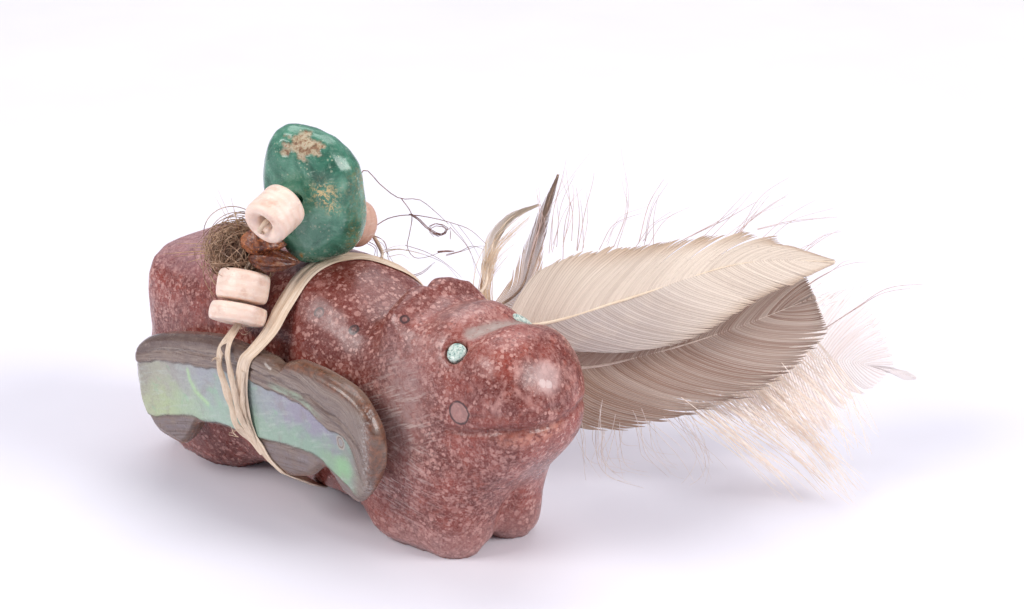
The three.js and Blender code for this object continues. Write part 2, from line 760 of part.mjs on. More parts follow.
/** All the sinew as one piece. */
function sinewGeometry() {
  const band = solidOf(tieGeometry());
  const strand = solidOf(cord(strandPath, STRAND_RADIUS, 54, 5));
  const sideStrand = solidOf(cord(sideStrandPath, STRAND_RADIUS, 10, 5));
  return geometryOf(band.add(strand).add(sideStrand));
}
addPiece("sinew_tie", sinewGeometry(), "sinew");

// Nugget: a tumbled pebble, flat after flat, each [direction in degrees, distance from the middle]
const nuggetFlats = [
  [-4, 7.6],
  [58, 9.7],
  [96, 10.9],
  [169, 7.6],
  [212, 7.4],
  [-66, 9.8],
];

function nuggetField(p) {
  const turn = radians(NUGGET.turn);
  const [dx, dy, dz] = p.map((v, axis) => v - NUGGET.centre[axis]);
  const across = dx * cos(turn) + dy * sin(turn);
  const deep = abs(dx * sin(turn) - dy * cos(turn));
  const faceDoming = 0.016 * (across * across + 0.5 * dz * dz);
  let stone = deep - NUGGET.thickness / 2 + faceDoming;
  for (const [direction, distance] of nuggetFlats) {
    const flat = across * cos(radians(direction)) + dz * sin(radians(direction)) - distance;
    stone = carve(stone, flat, NUGGET.rounding);
  }
  return stone;
}

function nuggetGeometry() {
  const around = (axis, half, step) =>
    gridLines(NUGGET.centre[axis] - half, NUGGET.centre[axis] + half, () => step);
  const pebble = meshField(nuggetField, around(0, 11.3, 2.1), around(1, 9.7, 2.1), around(2, 14.2, 2.2));
  const bore = cord(STRAND_THROUGH_NUGGET, STRAND_RADIUS + GAP, 6, 8);
  return geometryOf(solidOf(pebble).subtract(solidOf(bore)));
}

addPiece("turquoise_nugget", nuggetGeometry(), "turquoise");

// Beads: short barrels with rounded edges, bored along their axis
function addBead(name, bead) {
  const half = bead.length / 2;
  const outline = [
    [BEAD_HOLE, -half],
    [bead.radius - BEAD_EDGE, -half],
    [bead.radius, -half + BEAD_EDGE],
    [bead.radius, half - BEAD_EDGE],
    [bead.radius - BEAD_EDGE, half],
    [BEAD_HOLE, half],
    [BEAD_HOLE, -half],
  ];
  const barrel = new THREE.LatheGeometry(outline.map(([r, h]) => new THREE.Vector2(r, h)), 16);
  const piece = addPiece(name, barrel, "shellBead");
  piece.position.fromArray(bead.centre);
  piece.quaternion.setFromUnitVectors(new THREE.Vector3(0, 1, 0), vector(bead.axis).normalize());
}

addBead("shell_bead_upper", UPPER_BEAD);
addBead("shell_bead_thick", THICK_BEAD);
addBead("shell_bead_disc", DISC_BEAD);
addBead("shell_bead_far", FAR_BEAD);

// Husk: a ribbed pod, blunt behind and pointed in front
function huskGeometry() {
  const rings = 9;
  const around = 12;
  const ribs = 4;
  const axis = vector(HUSK.axis).normalize();
  const side = new THREE.Vector3(0, 0, 1).cross(axis).normalize();
  const top = axis.clone().cross(side);
  return skin(Array.from({ length: rings }, (_, i) => {
    const share = 0.02 + (0.96 * i) / (rings - 1);
    const girth = HUSK.radius * pow(sin(PI * share), 0.75) * (1.15 - 0.45 * share);
    const centre = vector(HUSK.centre).addScaledVector(axis, (share - 0.5) * HUSK.length);
    return Array.from({ length: around }, (_, j) => {
      const turn = (2 * PI * j) / around;
      const radius = girth * (1 + 0.07 * cos(ribs * turn));
      return centre.clone()
        .addScaledVector(side, radius * cos(turn))
        .addScaledVector(top, radius * sin(turn));
    });
  }));
}

addPiece("seed_husk", huskGeometry(), "husk");

// Tuft: a coil of hair, a ball with a shallow spiral round it
function tuftGeometry() {
  const rings = 9;
  const around = 12;
  return skin(Array.from({ length: rings }, (_, i) => {
    const polar = PI * (0.04 + (0.92 * i) / (rings - 1));
    return Array.from({ length: around }, (_, j) => {
      const turn = (2 * PI * j) / around;
      const swell = 0.93 + 0.07 * cos(3 * polar * 2 + turn);
      const onBall = [sin(polar) * cos(turn), cos(polar), sin(polar) * sin(turn)];
      return vector(onBall.map((v, axis) => TUFT.centre[axis] + TUFT.radii[axis] * swell * v));
    });
  }));
}

addPiece("hair_tuft", tuftGeometry(), "hair");

function stripGeometry() {
  const stations = 27;
  const around = 10;
  const middle = (STRIP.rear + STRIP.front) / 2;
  const halfLength = (STRIP.front - STRIP.rear) / 2;
  return skin(Array.from({ length: stations + 1 }, (_, i) => {
    const share = -cos((PI * i) / stations);
    const x = middle + halfLength * (0.45 * share + 0.55 * ((2 * i) / stations - 1));
    const [low, high] = stripEdges(x);
    const endThinning = pow(1 - pow(abs((x - middle) / halfLength), 9), 0.5);
    const thick = (STRIP.thickness / 2) * (0.3 + 0.7 * endThinning);
    return Array.from({ length: around }, (_, j) => {
      const [up, out] = squared((2 * PI * (j + 0.5)) / around, 0.55);
      return new THREE.Vector3(x, STRIP.y + thick * out, (high + low) / 2 + ((high - low) / 2) * up);
    });
  }));
}

addPiece("abalone_strip", stripGeometry(), "abalone");

const FACING_VIEWER = [0.64, -0.67, 0.37];

/**
 * One feather as a thin closed solid. Its free points are given by how far along the bear, out from the
 * flank and above its quill they lie. Widths are profiles over the vane, 0 at its root and 1 at its tip,
 * and facing is the way its front looks.
 */
function featherGeometry({ quillZ, free, vane, upper, lower, facing = FACING_VIEWER, steps = 16 }) {
  const onFree = ([x, outward, rise]) => vector([x, FLANK_HALF_WIDTH + outward, quillZ + rise]);
  const points = [...quillOnFlank(quillZ), ...free.map(onFree)];
  const path = new THREE.CatmullRomCurve3(points, false, "centripetal");
  const rootShare = 1 - vane / path.getLength();
  const sweep = 0.25;
  return skin(Array.from({ length: steps + 1 }, (_, i) => {
    const share = i / steps;
    const centre = path.getPointAt(share);
    const ahead = path.getTangentAt(share);
    const front = vector(facing).addScaledVector(ahead, -vector(facing).dot(ahead)).normalize();
    const up = front.clone().cross(ahead).normalize();
    const onVane = (share - rootShare) / (1 - rootShare);
    const widths = [upper, lower].map((width) => (onVane > 0 ? max(width(onVane), 0.25) : QUILL_RADIUS));
    const shaft = QUILL_RADIUS * (onVane > 0 ? 1 - 0.7 * onVane : 1);
    const place = (side, out) => {
      const width = side > 0 ? widths[0] : widths[1];
      const swept = onVane > 0 ? sweep * abs(side) * width : 0;
      return centre.clone()
        .addScaledVector(up, side * width)
        .addScaledVector(front, out - 0.012 * (side * width) ** 2)
        .addScaledVector(ahead, swept);
    };
    const edge = onVane > 0 ? VANE_EDGE / 2 : 0;
    return [
      place(1, edge),
      place(0.4, shaft * 0.6),
      place(0, shaft),
      place(-0.4, shaft * 0.6),
      place(-1, edge),
      place(-0.9, -edge),
      place(0, -shaft),
      place(0.9, -edge),
    ];
  }));
}

const FEATHERS = {
  feather_cream: {
    look: "cream",
    quillZ: quillHeight(2),
    vane: 45,
    free: [[12, 2.8, 0.6], [19.2, 7.7, 2.1], [27.4, 15.4, 5.7], [43.4, 30.2, 12.6], [52.1, 36.5, 13]],
    upper: profile([[0, 1.5], [0.1, 7.4], [0.25, 8.9], [0.5, 6.7], [0.78, 3.4], [1, 0.3]]),
    lower: profile([[0, 0.5], [0.1, 3.6], [0.27, 7.8], [0.5, 8.6], [0.78, 5.5], [1, 0.3]]),
  },
  feather_brown: {
    look: "brown",
    quillZ: quillHeight(1),
    vane: 41,
    free: [[12, 3.2, -1.2], [23.3, 13.3, -2.8], [29.9, 19.4, -0.7], [41.4, 30.6, 4.8], [47.9, 37.5, 8.7]],
    upper: profile([[0, 0.8], [0.12, 4.5], [0.4, 6.2], [0.8, 5.6], [0.95, 3.8], [1, 1.5]]),
    lower: profile([[0, 0.8], [0.12, 7.4], [0.4, 10.6], [0.75, 10.4], [0.93, 6.6], [1, 2]]),
  },
  feather_pale: {
    look: "pale",
    quillZ: quillHeight(0),
    vane: 46,
    free: [[11, 4, -0.2], [24.8, 23.8, 0.1], [37.2, 38.1, -1], [50.9, 52.6, -4.2], [54.2, 56.4, -5.9]],
    upper: profile([[0, 0.8], [0.2, 5], [0.55, 9], [0.8, 9.5], [0.95, 5], [1, 0.6]]),
    lower: profile([[0, 0.8], [0.2, 6], [0.55, 9.5], [0.8, 8.5], [0.95, 4], [1, 0.6]]),
  },
  feather_small_dark: {
    look: "brown",
    quillZ: quillHeight(3),
    vane: 23,
    steps: 11,
    free: [[10.5, 3, 0.4], [12.6, 10, 3], [10.7, 16, 10.1], [9.8, 20.9, 17.6]],
    upper: profile([[0, 0.8], [0.2, 2.2], [0.6, 1.5], [1, 0.3]]),
    lower: profile([[0, 0.8], [0.2, 2], [0.6, 1.3], [1, 0.3]]),
  },
  feather_small_pale: {
    look: "cream",
    quillZ: quillHeight(4),
    vane: 15,
    steps: 11,
    free: [[10, 3.2, 0.3], [9.6, 7.4, 2.6], [5.9, 12.6, 7], [7.7, 15.8, 9.5]],
    upper: profile([[0, 0.6], [0.3, 1.3], [1, 0.3]]),
    lower: profile([[0, 0.6], [0.3, 1.2], [1, 0.3]]),
  },
};

for (const [name, feather] of Object.entries(FEATHERS)) {
  addPiece(name, featherGeometry(feather), feather.look);
}

// The whole fetish stands on its feet with the middle of its outer box over the origin
const outer = new THREE.Box3().setFromObject(fetish);
const centre = outer.getCenter(new THREE.Vector3());
fetish.position.set(-centre.x, -centre.y, -outer.min.z);

export default fetish;
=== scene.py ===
"""Dresses the zuni fetish: a small bear of speckled red stone that carries a tied bundle.

Lengths in the classes are millimetres in the bear's own frame: x towards the muzzle, y towards the
left flank, z up from the soles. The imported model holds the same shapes, moved by ORIGIN, in metres.
"""

import logging
import math
from dataclasses import dataclass, field
from enum import Enum
from typing import Callable, Sequence

import bpy
import numpy as np
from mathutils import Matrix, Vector
from mathutils.bvhtree import BVHTree


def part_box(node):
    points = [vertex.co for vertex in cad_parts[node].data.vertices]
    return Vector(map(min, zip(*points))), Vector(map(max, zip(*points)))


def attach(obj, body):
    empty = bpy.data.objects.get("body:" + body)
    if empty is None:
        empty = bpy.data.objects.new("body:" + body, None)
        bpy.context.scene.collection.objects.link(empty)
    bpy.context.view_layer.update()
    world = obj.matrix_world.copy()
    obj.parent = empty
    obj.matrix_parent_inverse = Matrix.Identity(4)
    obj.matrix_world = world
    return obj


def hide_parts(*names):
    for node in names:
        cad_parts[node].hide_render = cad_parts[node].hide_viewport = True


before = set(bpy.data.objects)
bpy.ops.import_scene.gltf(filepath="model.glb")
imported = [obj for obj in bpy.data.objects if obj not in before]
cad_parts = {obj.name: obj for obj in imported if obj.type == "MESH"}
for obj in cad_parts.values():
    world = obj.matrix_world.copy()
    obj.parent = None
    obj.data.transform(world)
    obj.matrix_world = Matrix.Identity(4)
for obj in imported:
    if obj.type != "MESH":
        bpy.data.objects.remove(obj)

LOG = logging.getLogger("fetish")
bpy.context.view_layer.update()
ORIGIN = np.array((-7.56, -24.218, 0.0))
MM = 0.001
CREASE = 80.0
WELD_GAP = 0.002
STRIP_REAR, STRIP_FRONT = -34.0, 24.0
RIGHTWARD = (0.719, 0.695, 0.0)

Chip = tuple[int, int, int]
Spot = tuple[float, float, float]
Path = Sequence[Spot]


def metres(points: np.ndarray) -> np.ndarray:
    """Row-frame metres of points given in the bear's millimetres."""
    return (np.asarray(points, dtype=float) + ORIGIN) * MM


def bear_mm(points: np.ndarray) -> np.ndarray:
    """The bear's millimetres of points given in row-frame metres."""
    return np.asarray(points, dtype=float) / MM - ORIGIN


def tint(chip: Chip) -> tuple[float, float, float, float]:
    """The linear colour of a paint chip read as 0 to 255 on a screen."""
    shares = [part / 255 for part in chip]
    linear = [s / 12.92 if s <= 0.04045 else ((s + 0.055) / 1.055) ** 2.4 for s in shares]
    return (*linear, 1.0)


def unit(vectors: np.ndarray) -> np.ndarray:
    """Vectors of length 1 that point the same way."""
    return vectors / np.maximum(np.linalg.norm(vectors, axis=-1, keepdims=True), 1e-9)


def eased(value: np.ndarray, low: float, high: float) -> np.ndarray:
    """A soft step from 0 at low to 1 at high."""
    share = np.clip((value - low) / (high - low), 0, 1)
    return share * share * (3 - 2 * share)


def faded(away: np.ndarray, reach: float, power: int = 2) -> np.ndarray:
    """A bell that is 1 where away is 0 and fades over reach."""
    return np.exp(-((away / reach) ** power))


def near(points: np.ndarray, middle: Spot, reach: Spot) -> np.ndarray:
    """How near points are to a middle, fading over a reach along each axis."""
    return np.exp(-(((points - np.array(middle)) / np.array(reach)) ** 2).sum(axis=1))


def nearest(share: np.ndarray, count: int) -> np.ndarray:
    """Which of count even rows lies nearest to a share of the way."""
    return np.clip(np.round(share * (count - 1)).astype(int), 0, count - 1)


def ring(
    turn: np.ndarray, wide: np.ndarray, tall: np.ndarray, side: np.ndarray, up: np.ndarray
) -> np.ndarray:
    """Offsets round an oval that is wide along side and tall along up."""
    return (wide * np.cos(turn))[:, None] * side + (tall * np.sin(turn))[:, None] * up


def cubic(t: np.ndarray, span: np.ndarray, ends: Sequence, slopes: Sequence) -> np.ndarray:
    """A smooth line between two ends with their slopes, at shares t of the span."""
    return (
        ends[0] * (1 + 2 * t) * (1 - t) ** 2
        + ends[1] * t * t * (3 - 2 * t)
        + span * slopes[0] * t * (1 - t) ** 2
        + span * slopes[1] * t * t * (t - 1)
    )


def between(x: np.ndarray, stations: Sequence[tuple[float, float]]) -> np.ndarray:
    """The height of a line drawn smoothly through stations of (place, height).

    Args:
        x: Places along the line.
        stations: Pairs of place and height, in order.

    Returns:
        The height at each place.
    """
    places, heights = np.array(stations, dtype=float).T
    spans = np.diff(places)
    rises = np.diff(heights) / spans
    slopes = np.zeros_like(heights)
    for i in range(1, len(places) - 1):
        if rises[i - 1] * rises[i] > 0:
            before = 2 * spans[i] + spans[i - 1]
            after = spans[i] + 2 * spans[i - 1]
            slopes[i] = (before + after) / (before / rises[i - 1] + after / rises[i])
    slopes[0], slopes[-1] = rises[0], rises[-1]
    x = np.clip(np.asarray(x, dtype=float), places[0], places[-1])
    i = np.clip(np.searchsorted(places, x, side="right") - 1, 0, len(spans) - 1)
    t = (x - places[i]) / spans[i]
    return cubic(t, spans[i], (heights[i], heights[i + 1]), (slopes[i], slopes[i + 1]))


def steps_along(line: np.ndarray) -> np.ndarray:
    """The length of a line from its start up to each of its points."""
    return np.concatenate(([0.0], np.cumsum(np.linalg.norm(np.diff(line, axis=0), axis=1))))


def smooth_path(points: Path, count: int) -> np.ndarray:
    """Even steps along a smooth curve through points.

    Args:
        points: Points the curve passes, in order.
        count: How many steps to return.

    Returns:
        An array of count points.
    """
    knots = np.array(points, dtype=float)
    reach = steps_along(knots)
    slopes = np.gradient(knots, reach, axis=0)
    places = np.linspace(0, reach[-1], count)
    i = np.clip(np.searchsorted(reach, places, side="right") - 1, 0, len(reach) - 2)
    span = (reach[i + 1] - reach[i])[:, None]
    t = (places - reach[i])[:, None] / span
    return cubic(t, span, (knots[i], knots[i + 1]), (slopes[i], slopes[i + 1]))


def from_path(points: np.ndarray, path: Path) -> tuple[np.ndarray, np.ndarray]:
    """How far points are from a drawn line.

    Args:
        points: Points to measure.
        path: Corners of the line, in order.

    Returns:
        The distance of each point, and its share of the way along the line.
    """
    corners = np.array(path, dtype=float)
    done = steps_along(corners)
    lengths = np.linalg.norm(np.diff(corners, axis=0), axis=1)
    least = np.full(len(points), np.inf)
    share = np.zeros(len(points))
    for i, length in enumerate(lengths):
        side = corners[i + 1] - corners[i]
        t = np.clip((points - corners[i]) @ side / length**2, 0, 1)
        away = np.linalg.norm(points - corners[i] - t[:, None] * side, axis=1)
        closer = away < least
        least = np.where(closer, away, least)
        share = np.where(closer, (done[i] + t * length) / done[-1], share)
    return least, share


class Bench:
    """Modelling steps that the pieces share."""

    @staticmethod
    def clear() -> None:
        """Leaves edit mode and deselects everything."""
        if bpy.context.object and bpy.context.object.mode != "OBJECT":
            bpy.ops.object.mode_set(mode="OBJECT")
        bpy.ops.object.select_all(action="DESELECT")

    @staticmethod
    def take(piece: bpy.types.Object) -> None:
        """Makes one object the selected and active one."""
        Bench.clear()
        piece.select_set(True)
        bpy.context.view_layer.objects.active = piece

    @staticmethod
    def copy_of(node: str, name: str) -> bpy.types.Object:
        """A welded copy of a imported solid, to be shaped further."""
        piece = bpy.data.objects.new(name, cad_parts[node].data.copy())
        piece.data.materials.clear()
        bpy.context.scene.collection.objects.link(piece)
        Bench.take(piece)
        Bench.weld(piece, WELD_GAP)
        return piece

    @staticmethod
    def edit(piece: bpy.types.Object) -> None:
        """Opens a piece in edit mode with all of it selected."""
        Bench.take(piece)
        bpy.ops.object.mode_set(mode="EDIT")
        bpy.ops.mesh.select_all(action="SELECT")

    @staticmethod
    def weld(piece: bpy.types.Object, distance: float = 0.004, fill: bool = False) -> None:
        """Merges doubles and turns all faces outwards.

        Args:
            piece: The mesh to weld.
            distance: Merging distance in millimetres.
            fill: Whether open ends are closed as well.
        """
        Bench.edit(piece)
        bpy.ops.mesh.remove_doubles(threshold=distance * MM)
        if fill:
            bpy.ops.mesh.fill_holes(sides=0)
        bpy.ops.mesh.select_all(action="SELECT")
        bpy.ops.mesh.normals_make_consistent(inside=False)
        bpy.ops.object.mode_set(mode="OBJECT")

    @staticmethod
    def modify(piece: bpy.types.Object, kind: str, **settings: object) -> None:
        """Adds one modifier with its settings and applies it."""
        Bench.take(piece)
        bpy.ops.object.modifier_add(type=kind)
        modifier = piece.modifiers[-1]
        for key, value in settings.items():
            setattr(modifier, key, value)
        bpy.ops.object.modifier_apply(modifier=modifier.name)

    @staticmethod
    def fine_copy(node: str, name: str, voxel: float, softening: int) -> bpy.types.Object:
        """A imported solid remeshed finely, to be carved further.

        Args:
            node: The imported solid.
            name: Name of the piece.
            voxel: Width of a face in millimetres.
            softening: Rounds of the last smoothing.

        Returns:
            The piece, in rounds of smoothing that give back most of the size that they take.
        """
        piece = Bench.copy_of(node, name)
        Bench.modify(piece, "REMESH", mode="VOXEL", voxel_size=voxel * MM, adaptivity=0.0)
        for _ in range(5):
            for factor in (0.5, -0.51):
                Bench.modify(piece, "SMOOTH", factor=factor, iterations=3)
        Bench.modify(piece, "SMOOTH", factor=0.5, iterations=softening)
        return piece

    @staticmethod
    def read(items: bpy.types.bpy_prop_collection, key: str) -> np.ndarray:
        """The vectors stored on the vertices of a mesh, one in a row."""
        flat = np.empty(len(items) * 3)
        items.foreach_get(key, flat)
        return flat.reshape(-1, 3)

    @staticmethod
    def points(piece: bpy.types.Object) -> np.ndarray:
        """The vertices of a piece in the bear's millimetres."""
        return bear_mm(Bench.read(piece.data.vertices, "co"))

    @staticmethod
    def normals(piece: bpy.types.Object) -> np.ndarray:
        """The outward direction at each vertex of a piece."""
        return Bench.read(piece.data.vertex_normals, "vector")

    @staticmethod
    def place(piece: bpy.types.Object, points: np.ndarray) -> None:
        """Moves the vertices of a piece to points in the bear's millimetres."""
        piece.data.vertices.foreach_set("co", metres(points).ravel())
        piece.data.update()

    @staticmethod
    def mark(piece: bpy.types.Object, name: str, values: np.ndarray | float) -> None:
        """Stores a number on each vertex for the finish to read."""
        layer = piece.data.attributes.new(name=name, type="FLOAT", domain="POINT")
        layer.data.foreach_set("value", np.full(len(piece.data.vertices), values, dtype=np.float32))

    @staticmethod
    def smooth(piece: bpy.types.Object, angle: float = 60.0) -> None:
        """Shades a piece smooth up to an angle in degrees."""
        Bench.take(piece)
        bpy.ops.object.shade_smooth_by_angle(angle=math.radians(angle))

    @staticmethod
    def grid(name: str, rows: int, columns: int, size: float = 1) -> bpy.types.Object:
        """A flat square of rows and columns."""
        Bench.clear()
        bpy.ops.mesh.primitive_grid_add(x_subdivisions=rows, y_subdivisions=columns, size=size)
        bpy.context.object.name = name
        return bpy.context.object

    @staticmethod
    def drape(
        name: str,
        rows: int,
        columns: int,
        lay: Callable[[np.ndarray, np.ndarray], np.ndarray],
        closed: bool = False,
    ) -> bpy.types.Object:
        """Lays a grid over a surface.

        Args:
            name: Name of the piece.
            rows: Steps along the piece.
            columns: Steps across it, or round it.
            lay: Gives the points, in the bear's millimetres, of shares along and across.
            closed: Whether the grid closes round and its two ends are filled.

        Returns:
            The mesh object, with its place in its mesh.
        """
        piece = Bench.grid(name, rows, columns)
        along, across, _ = np.clip(Bench.read(piece.data.vertices, "co") + 0.5, 0, 1).T
        Bench.place(piece, lay(along, across))
        if closed:
            Bench.weld(piece, WELD_GAP, fill=True)
        Bench.smooth(piece)
        return piece

    @staticmethod
    def tube(
        name: str,
        line: np.ndarray,
        sides: tuple[np.ndarray, np.ndarray],
        columns: int,
        girth: Callable[[np.ndarray, np.ndarray], tuple[np.ndarray, np.ndarray]],
    ) -> bpy.types.Object:
        """Sweeps an oval along a line and closes its ends.

        Args:
            name: Name of the piece.
            line: Points along the middle.
            sides: Directions of the oval's width and height at each of them.
            columns: Steps round the oval.
            girth: Gives half its width and height from the share along and the angle round.

        Returns:
            The mesh object.
        """

        def swept(along: np.ndarray, across: np.ndarray) -> np.ndarray:
            """Points of the oval at shares along and round."""
            row, turn = nearest(along, len(line)), across * math.tau
            return line[row] + ring(turn, *girth(along, turn), sides[0][row], sides[1][row])

        return Bench.drape(name, len(line) - 1, columns, swept, closed=True)

    @staticmethod
    def close_round(piece: bpy.types.Object) -> None:
        """Joins the two open seams of a ring and turns its faces outwards."""
        Bench.weld(piece, WELD_GAP)
        Bench.edit(piece)
        bpy.ops.mesh.select_all(action="DESELECT")
        bpy.ops.mesh.select_non_manifold()
        bpy.ops.mesh.bridge_edge_loops()
        bpy.ops.mesh.select_all(action="SELECT")
        bpy.ops.mesh.normals_make_consistent(inside=False)
        bpy.ops.object.mode_set(mode="OBJECT")
        Bench.smooth(piece)

    @staticmethod
    def join(pieces: Sequence[bpy.types.Object], name: str) -> bpy.types.Object:
        """One object of several."""
        Bench.clear()
        for piece in pieces:
            piece.select_set(True)
        bpy.context.view_layer.objects.active = pieces[0]
        bpy.ops.object.join()
        pieces[0].name = name
        return pieces[0]

    @staticmethod
    def finish(piece: bpy.types.Object, material: bpy.types.Material, slot: str, *nodes: str) -> None:
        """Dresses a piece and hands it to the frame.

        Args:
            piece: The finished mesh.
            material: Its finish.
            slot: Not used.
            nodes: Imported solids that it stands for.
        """
        piece.data.materials.clear()
        piece.data.materials.append(material)
        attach(piece, "root")
        if nodes:
            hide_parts(*nodes)
        LOG.info("%s: %d faces", piece.name, len(piece.data.polygons))


class Value:
    """A shader socket that is written in plain arithmetic."""

    def __init__(self, paint: "Paint", socket: bpy.types.NodeSocket) -> None:
        """Wraps one output socket of a node tree."""
        self.paint = paint
        self.socket = socket

    def maths(self, operation: str, *others: object) -> "Value":
        """A Math node on this value."""
        return self.paint.node("ShaderNodeMath", {0: self, **dict(enumerate(others, 1))}, operation=operation)

    def __add__(self, other: object) -> "Value":
        """The sum."""
        return self.maths("ADD", other)

    def __sub__(self, other: object) -> "Value":
        """The difference."""
        return self.maths("SUBTRACT", other)

    def __rsub__(self, other: object) -> "Value":
        """What is left of the other after this value."""
        return self.paint.node("ShaderNodeMath", {0: other, 1: self}, operation="SUBTRACT")

    def __mul__(self, other: object) -> "Value":
        """The product."""
        return self.maths("MULTIPLY", other)

    __radd__ = __add__
    __rmul__ = __mul__

    def step(self, low: float, high: float, start: float = 0.0, end: float = 1.0) -> "Value":
        """A soft step of this value, from start at low to end at high."""
        reach = {"From Min": low, "From Max": high, "To Min": start, "To Max": end}
        inputs = {"Value": self, **reach}
        return self.paint.node("ShaderNodeMapRange", inputs, interpolation_type="SMOOTHSTEP")


class Paint:
    """The node tree of one finish, read in the bear's millimetres."""

    def __init__(self, name: str) -> None:
        """Starts an empty finish with its output, its place and a white body colour."""
        self.material = bpy.data.materials.new(name)
        self.material.use_nodes = True
        self.tree = self.material.node_tree
        self.tree.nodes.clear()
        self.output = self.tree.nodes.new("ShaderNodeOutputMaterial")
        place = self.node("ShaderNodeTexCoord", {}, "Object")
        origin = {"Location": tuple(-ORIGIN), "Scale": (1 / MM, 1 / MM, 1 / MM)}
        self.mm = self.node("ShaderNodeMapping", {"Vector": place, **origin})
        self.body: Value | Chip = (255, 255, 255)

    def node(self, kind: str, inputs: dict[object, object], output: object = 0, **settings: object) -> Value:
        """Adds one node.

        Args:
            kind: The node's type.
            inputs: Values or links by socket name or number.
            output: Name or number of the socket to read.
            settings: Attributes of the node, set first.

        Returns:
            The chosen output.
        """
        made = self.tree.nodes.new(kind)
        for key, value in settings.items():
            setattr(made, key, value)
        for key, value in inputs.items():
            if isinstance(value, Value):
                self.tree.links.new(value.socket, made.inputs[key])
            else:
                made.inputs[key].default_value = value
        return Value(self, made.outputs[output])

    def vector(self, operation: str, first: object, second: object, output: object = 0) -> Value:
        """A Vector Math node on two vectors."""
        return self.node("ShaderNodeVectorMath", {0: first, 1: second}, output, operation=operation)

    def mark(self, name: str) -> Value:
        """A number stored on the vertices."""
        return self.node("ShaderNodeAttribute", {}, "Fac", attribute_name=name)

    def uv(self) -> Value:
        """The place on the piece's own map."""
        return self.node("ShaderNodeUVMap", {}, "UV", uv_map="UVMap")

    def stretched(self, scale: Sequence[float], turn: Sequence[float] = (0, 0, 0)) -> Value:
        """The place on the piece, turned by degrees and then stretched."""
        turns = tuple(math.radians(t) for t in turn)
        turned = self.node("ShaderNodeMapping", {"Vector": self.mm, "Rotation": turns})
        return self.node("ShaderNodeMapping", {"Vector": turned, "Scale": tuple(scale)})

    def noise(
        self,
        scale: float,
        detail: float = 3.0,
        roughness: float = 0.55,
        distortion: float = 0.0,
        where: Value | None = None,
    ) -> Value:
        """Cloudy variation, at a scale per millimetre."""
        grain = {"Scale": scale, "Detail": detail, "Roughness": roughness, "Distortion": distortion}
        return self.node("ShaderNodeTexNoise", {"Vector": where or self.mm, **grain})

    def cells(self, scale: float, where: Value, output: str = "Distance") -> Value:
        """Distance from, or colour of, scattered grains, at a scale per millimetre."""
        return self.node("ShaderNodeTexVoronoi", {"Vector": where, "Scale": scale}, output)

    def spots(self, scale: float, size: float, kept: float, where: Value, lot: int = 0) -> Value:
        """Scattered soft spots of mixed sizes.

        Args:
            scale: Grains per millimetre.
            size: Largest radius, as a share of a grain's width.
            kept: Share of the grains left out.
            where: Place that they are read at.
            lot: Which colour of a grain decides its size.

        Returns:
            One inside the spots.
        """
        draw = self.node("ShaderNodeSeparateColor", {0: self.cells(scale, where, "Color")}, lot)
        room = draw.step(kept, 1.0) * size
        return (room - self.cells(scale, where)).step(-0.02, 0.10)

    def shaken(self, scale: float, amount: float) -> Value:
        """The place on the piece, shaken by noise."""
        shake = self.node("ShaderNodeTexNoise", {"Vector": self.mm, "Scale": scale, "Detail": 3.0}, "Color")
        centred = self.vector("SUBTRACT", shake, (0.5, 0.5, 0.5))
        moved = self.node("ShaderNodeVectorMath", {0: centred, "Scale": amount}, operation="SCALE")
        return self.vector("ADD", self.mm, moved)

    def from_point(self, point: Sequence[float], where: Value) -> Value:
        """Distance of a place from a point in millimetres."""
        return self.vector("DISTANCE", where, tuple(point), "Value")

    def axis(self, number: int) -> Value:
        """One coordinate of the place on the piece."""
        return self.node("ShaderNodeSeparateXYZ", {0: self.mm}, number)

    def facing(self, number: int) -> Value:
        """One coordinate of the surface's outward direction."""
        normal = self.node("ShaderNodeNewGeometry", {}, "Normal")
        return self.node("ShaderNodeSeparateXYZ", {0: normal}, number)

    def ramp(self, value: Value, stops: Sequence[tuple[float, Chip]]) -> Value:
        """A colour from a ramp of places and paint chips."""
        made = self.node("ShaderNodeValToRGB", {"Fac": value}, "Color")
        elements = made.socket.node.color_ramp.elements
        elements.remove(elements[-1])
        elements[0].position, elements[0].color = stops[0][0], tint(stops[0][1])
        for place, chip in stops[1:]:
            elements.new(place).color = tint(chip)
        return made

    def mix(self, share: object, first: Value | Chip, second: Value | Chip) -> Value:
        """Two colours mixed by a share."""
        first, second = (colour if isinstance(colour, Value) else tint(colour) for colour in (first, second))
        inputs = {0: share, 6: first, 7: second}
        return self.node("ShaderNodeMix", inputs, 2, data_type="RGBA", blend_type="MIX", clamp_factor=True)

    def lay(self, share: object, colour: Value | Chip) -> None:
        """Lays a colour over the body colour, by a share."""
        self.body = self.mix(share, self.body, colour)

    def bump(self, height: Value, distance: float, strength: float) -> Value:
        """Fine relief of a height between 0 and 1, at a distance in millimetres."""
        inputs = {"Height": height, "Distance": distance * MM, "Strength": strength}
        return self.node("ShaderNodeBump", inputs, "Normal")

    def shade(self, roughness: object, **sockets: object) -> bpy.types.Material:
        """Closes the finish with the Principled shader.

        Args:
            roughness: Value or number.
            sockets: Further sockets, with underscores for spaces.

        Returns:
            The material, with the body colour laid so far.
        """
        named = {key.replace("_", " "): value for key, value in sockets.items()}
        inputs = {"Base Color": self.body, "Roughness": roughness, **named}
        shader = self.node("ShaderNodeBsdfPrincipled", inputs)
        self.tree.links.new(shader.socket, self.output.inputs["Surface"])
        return self.material


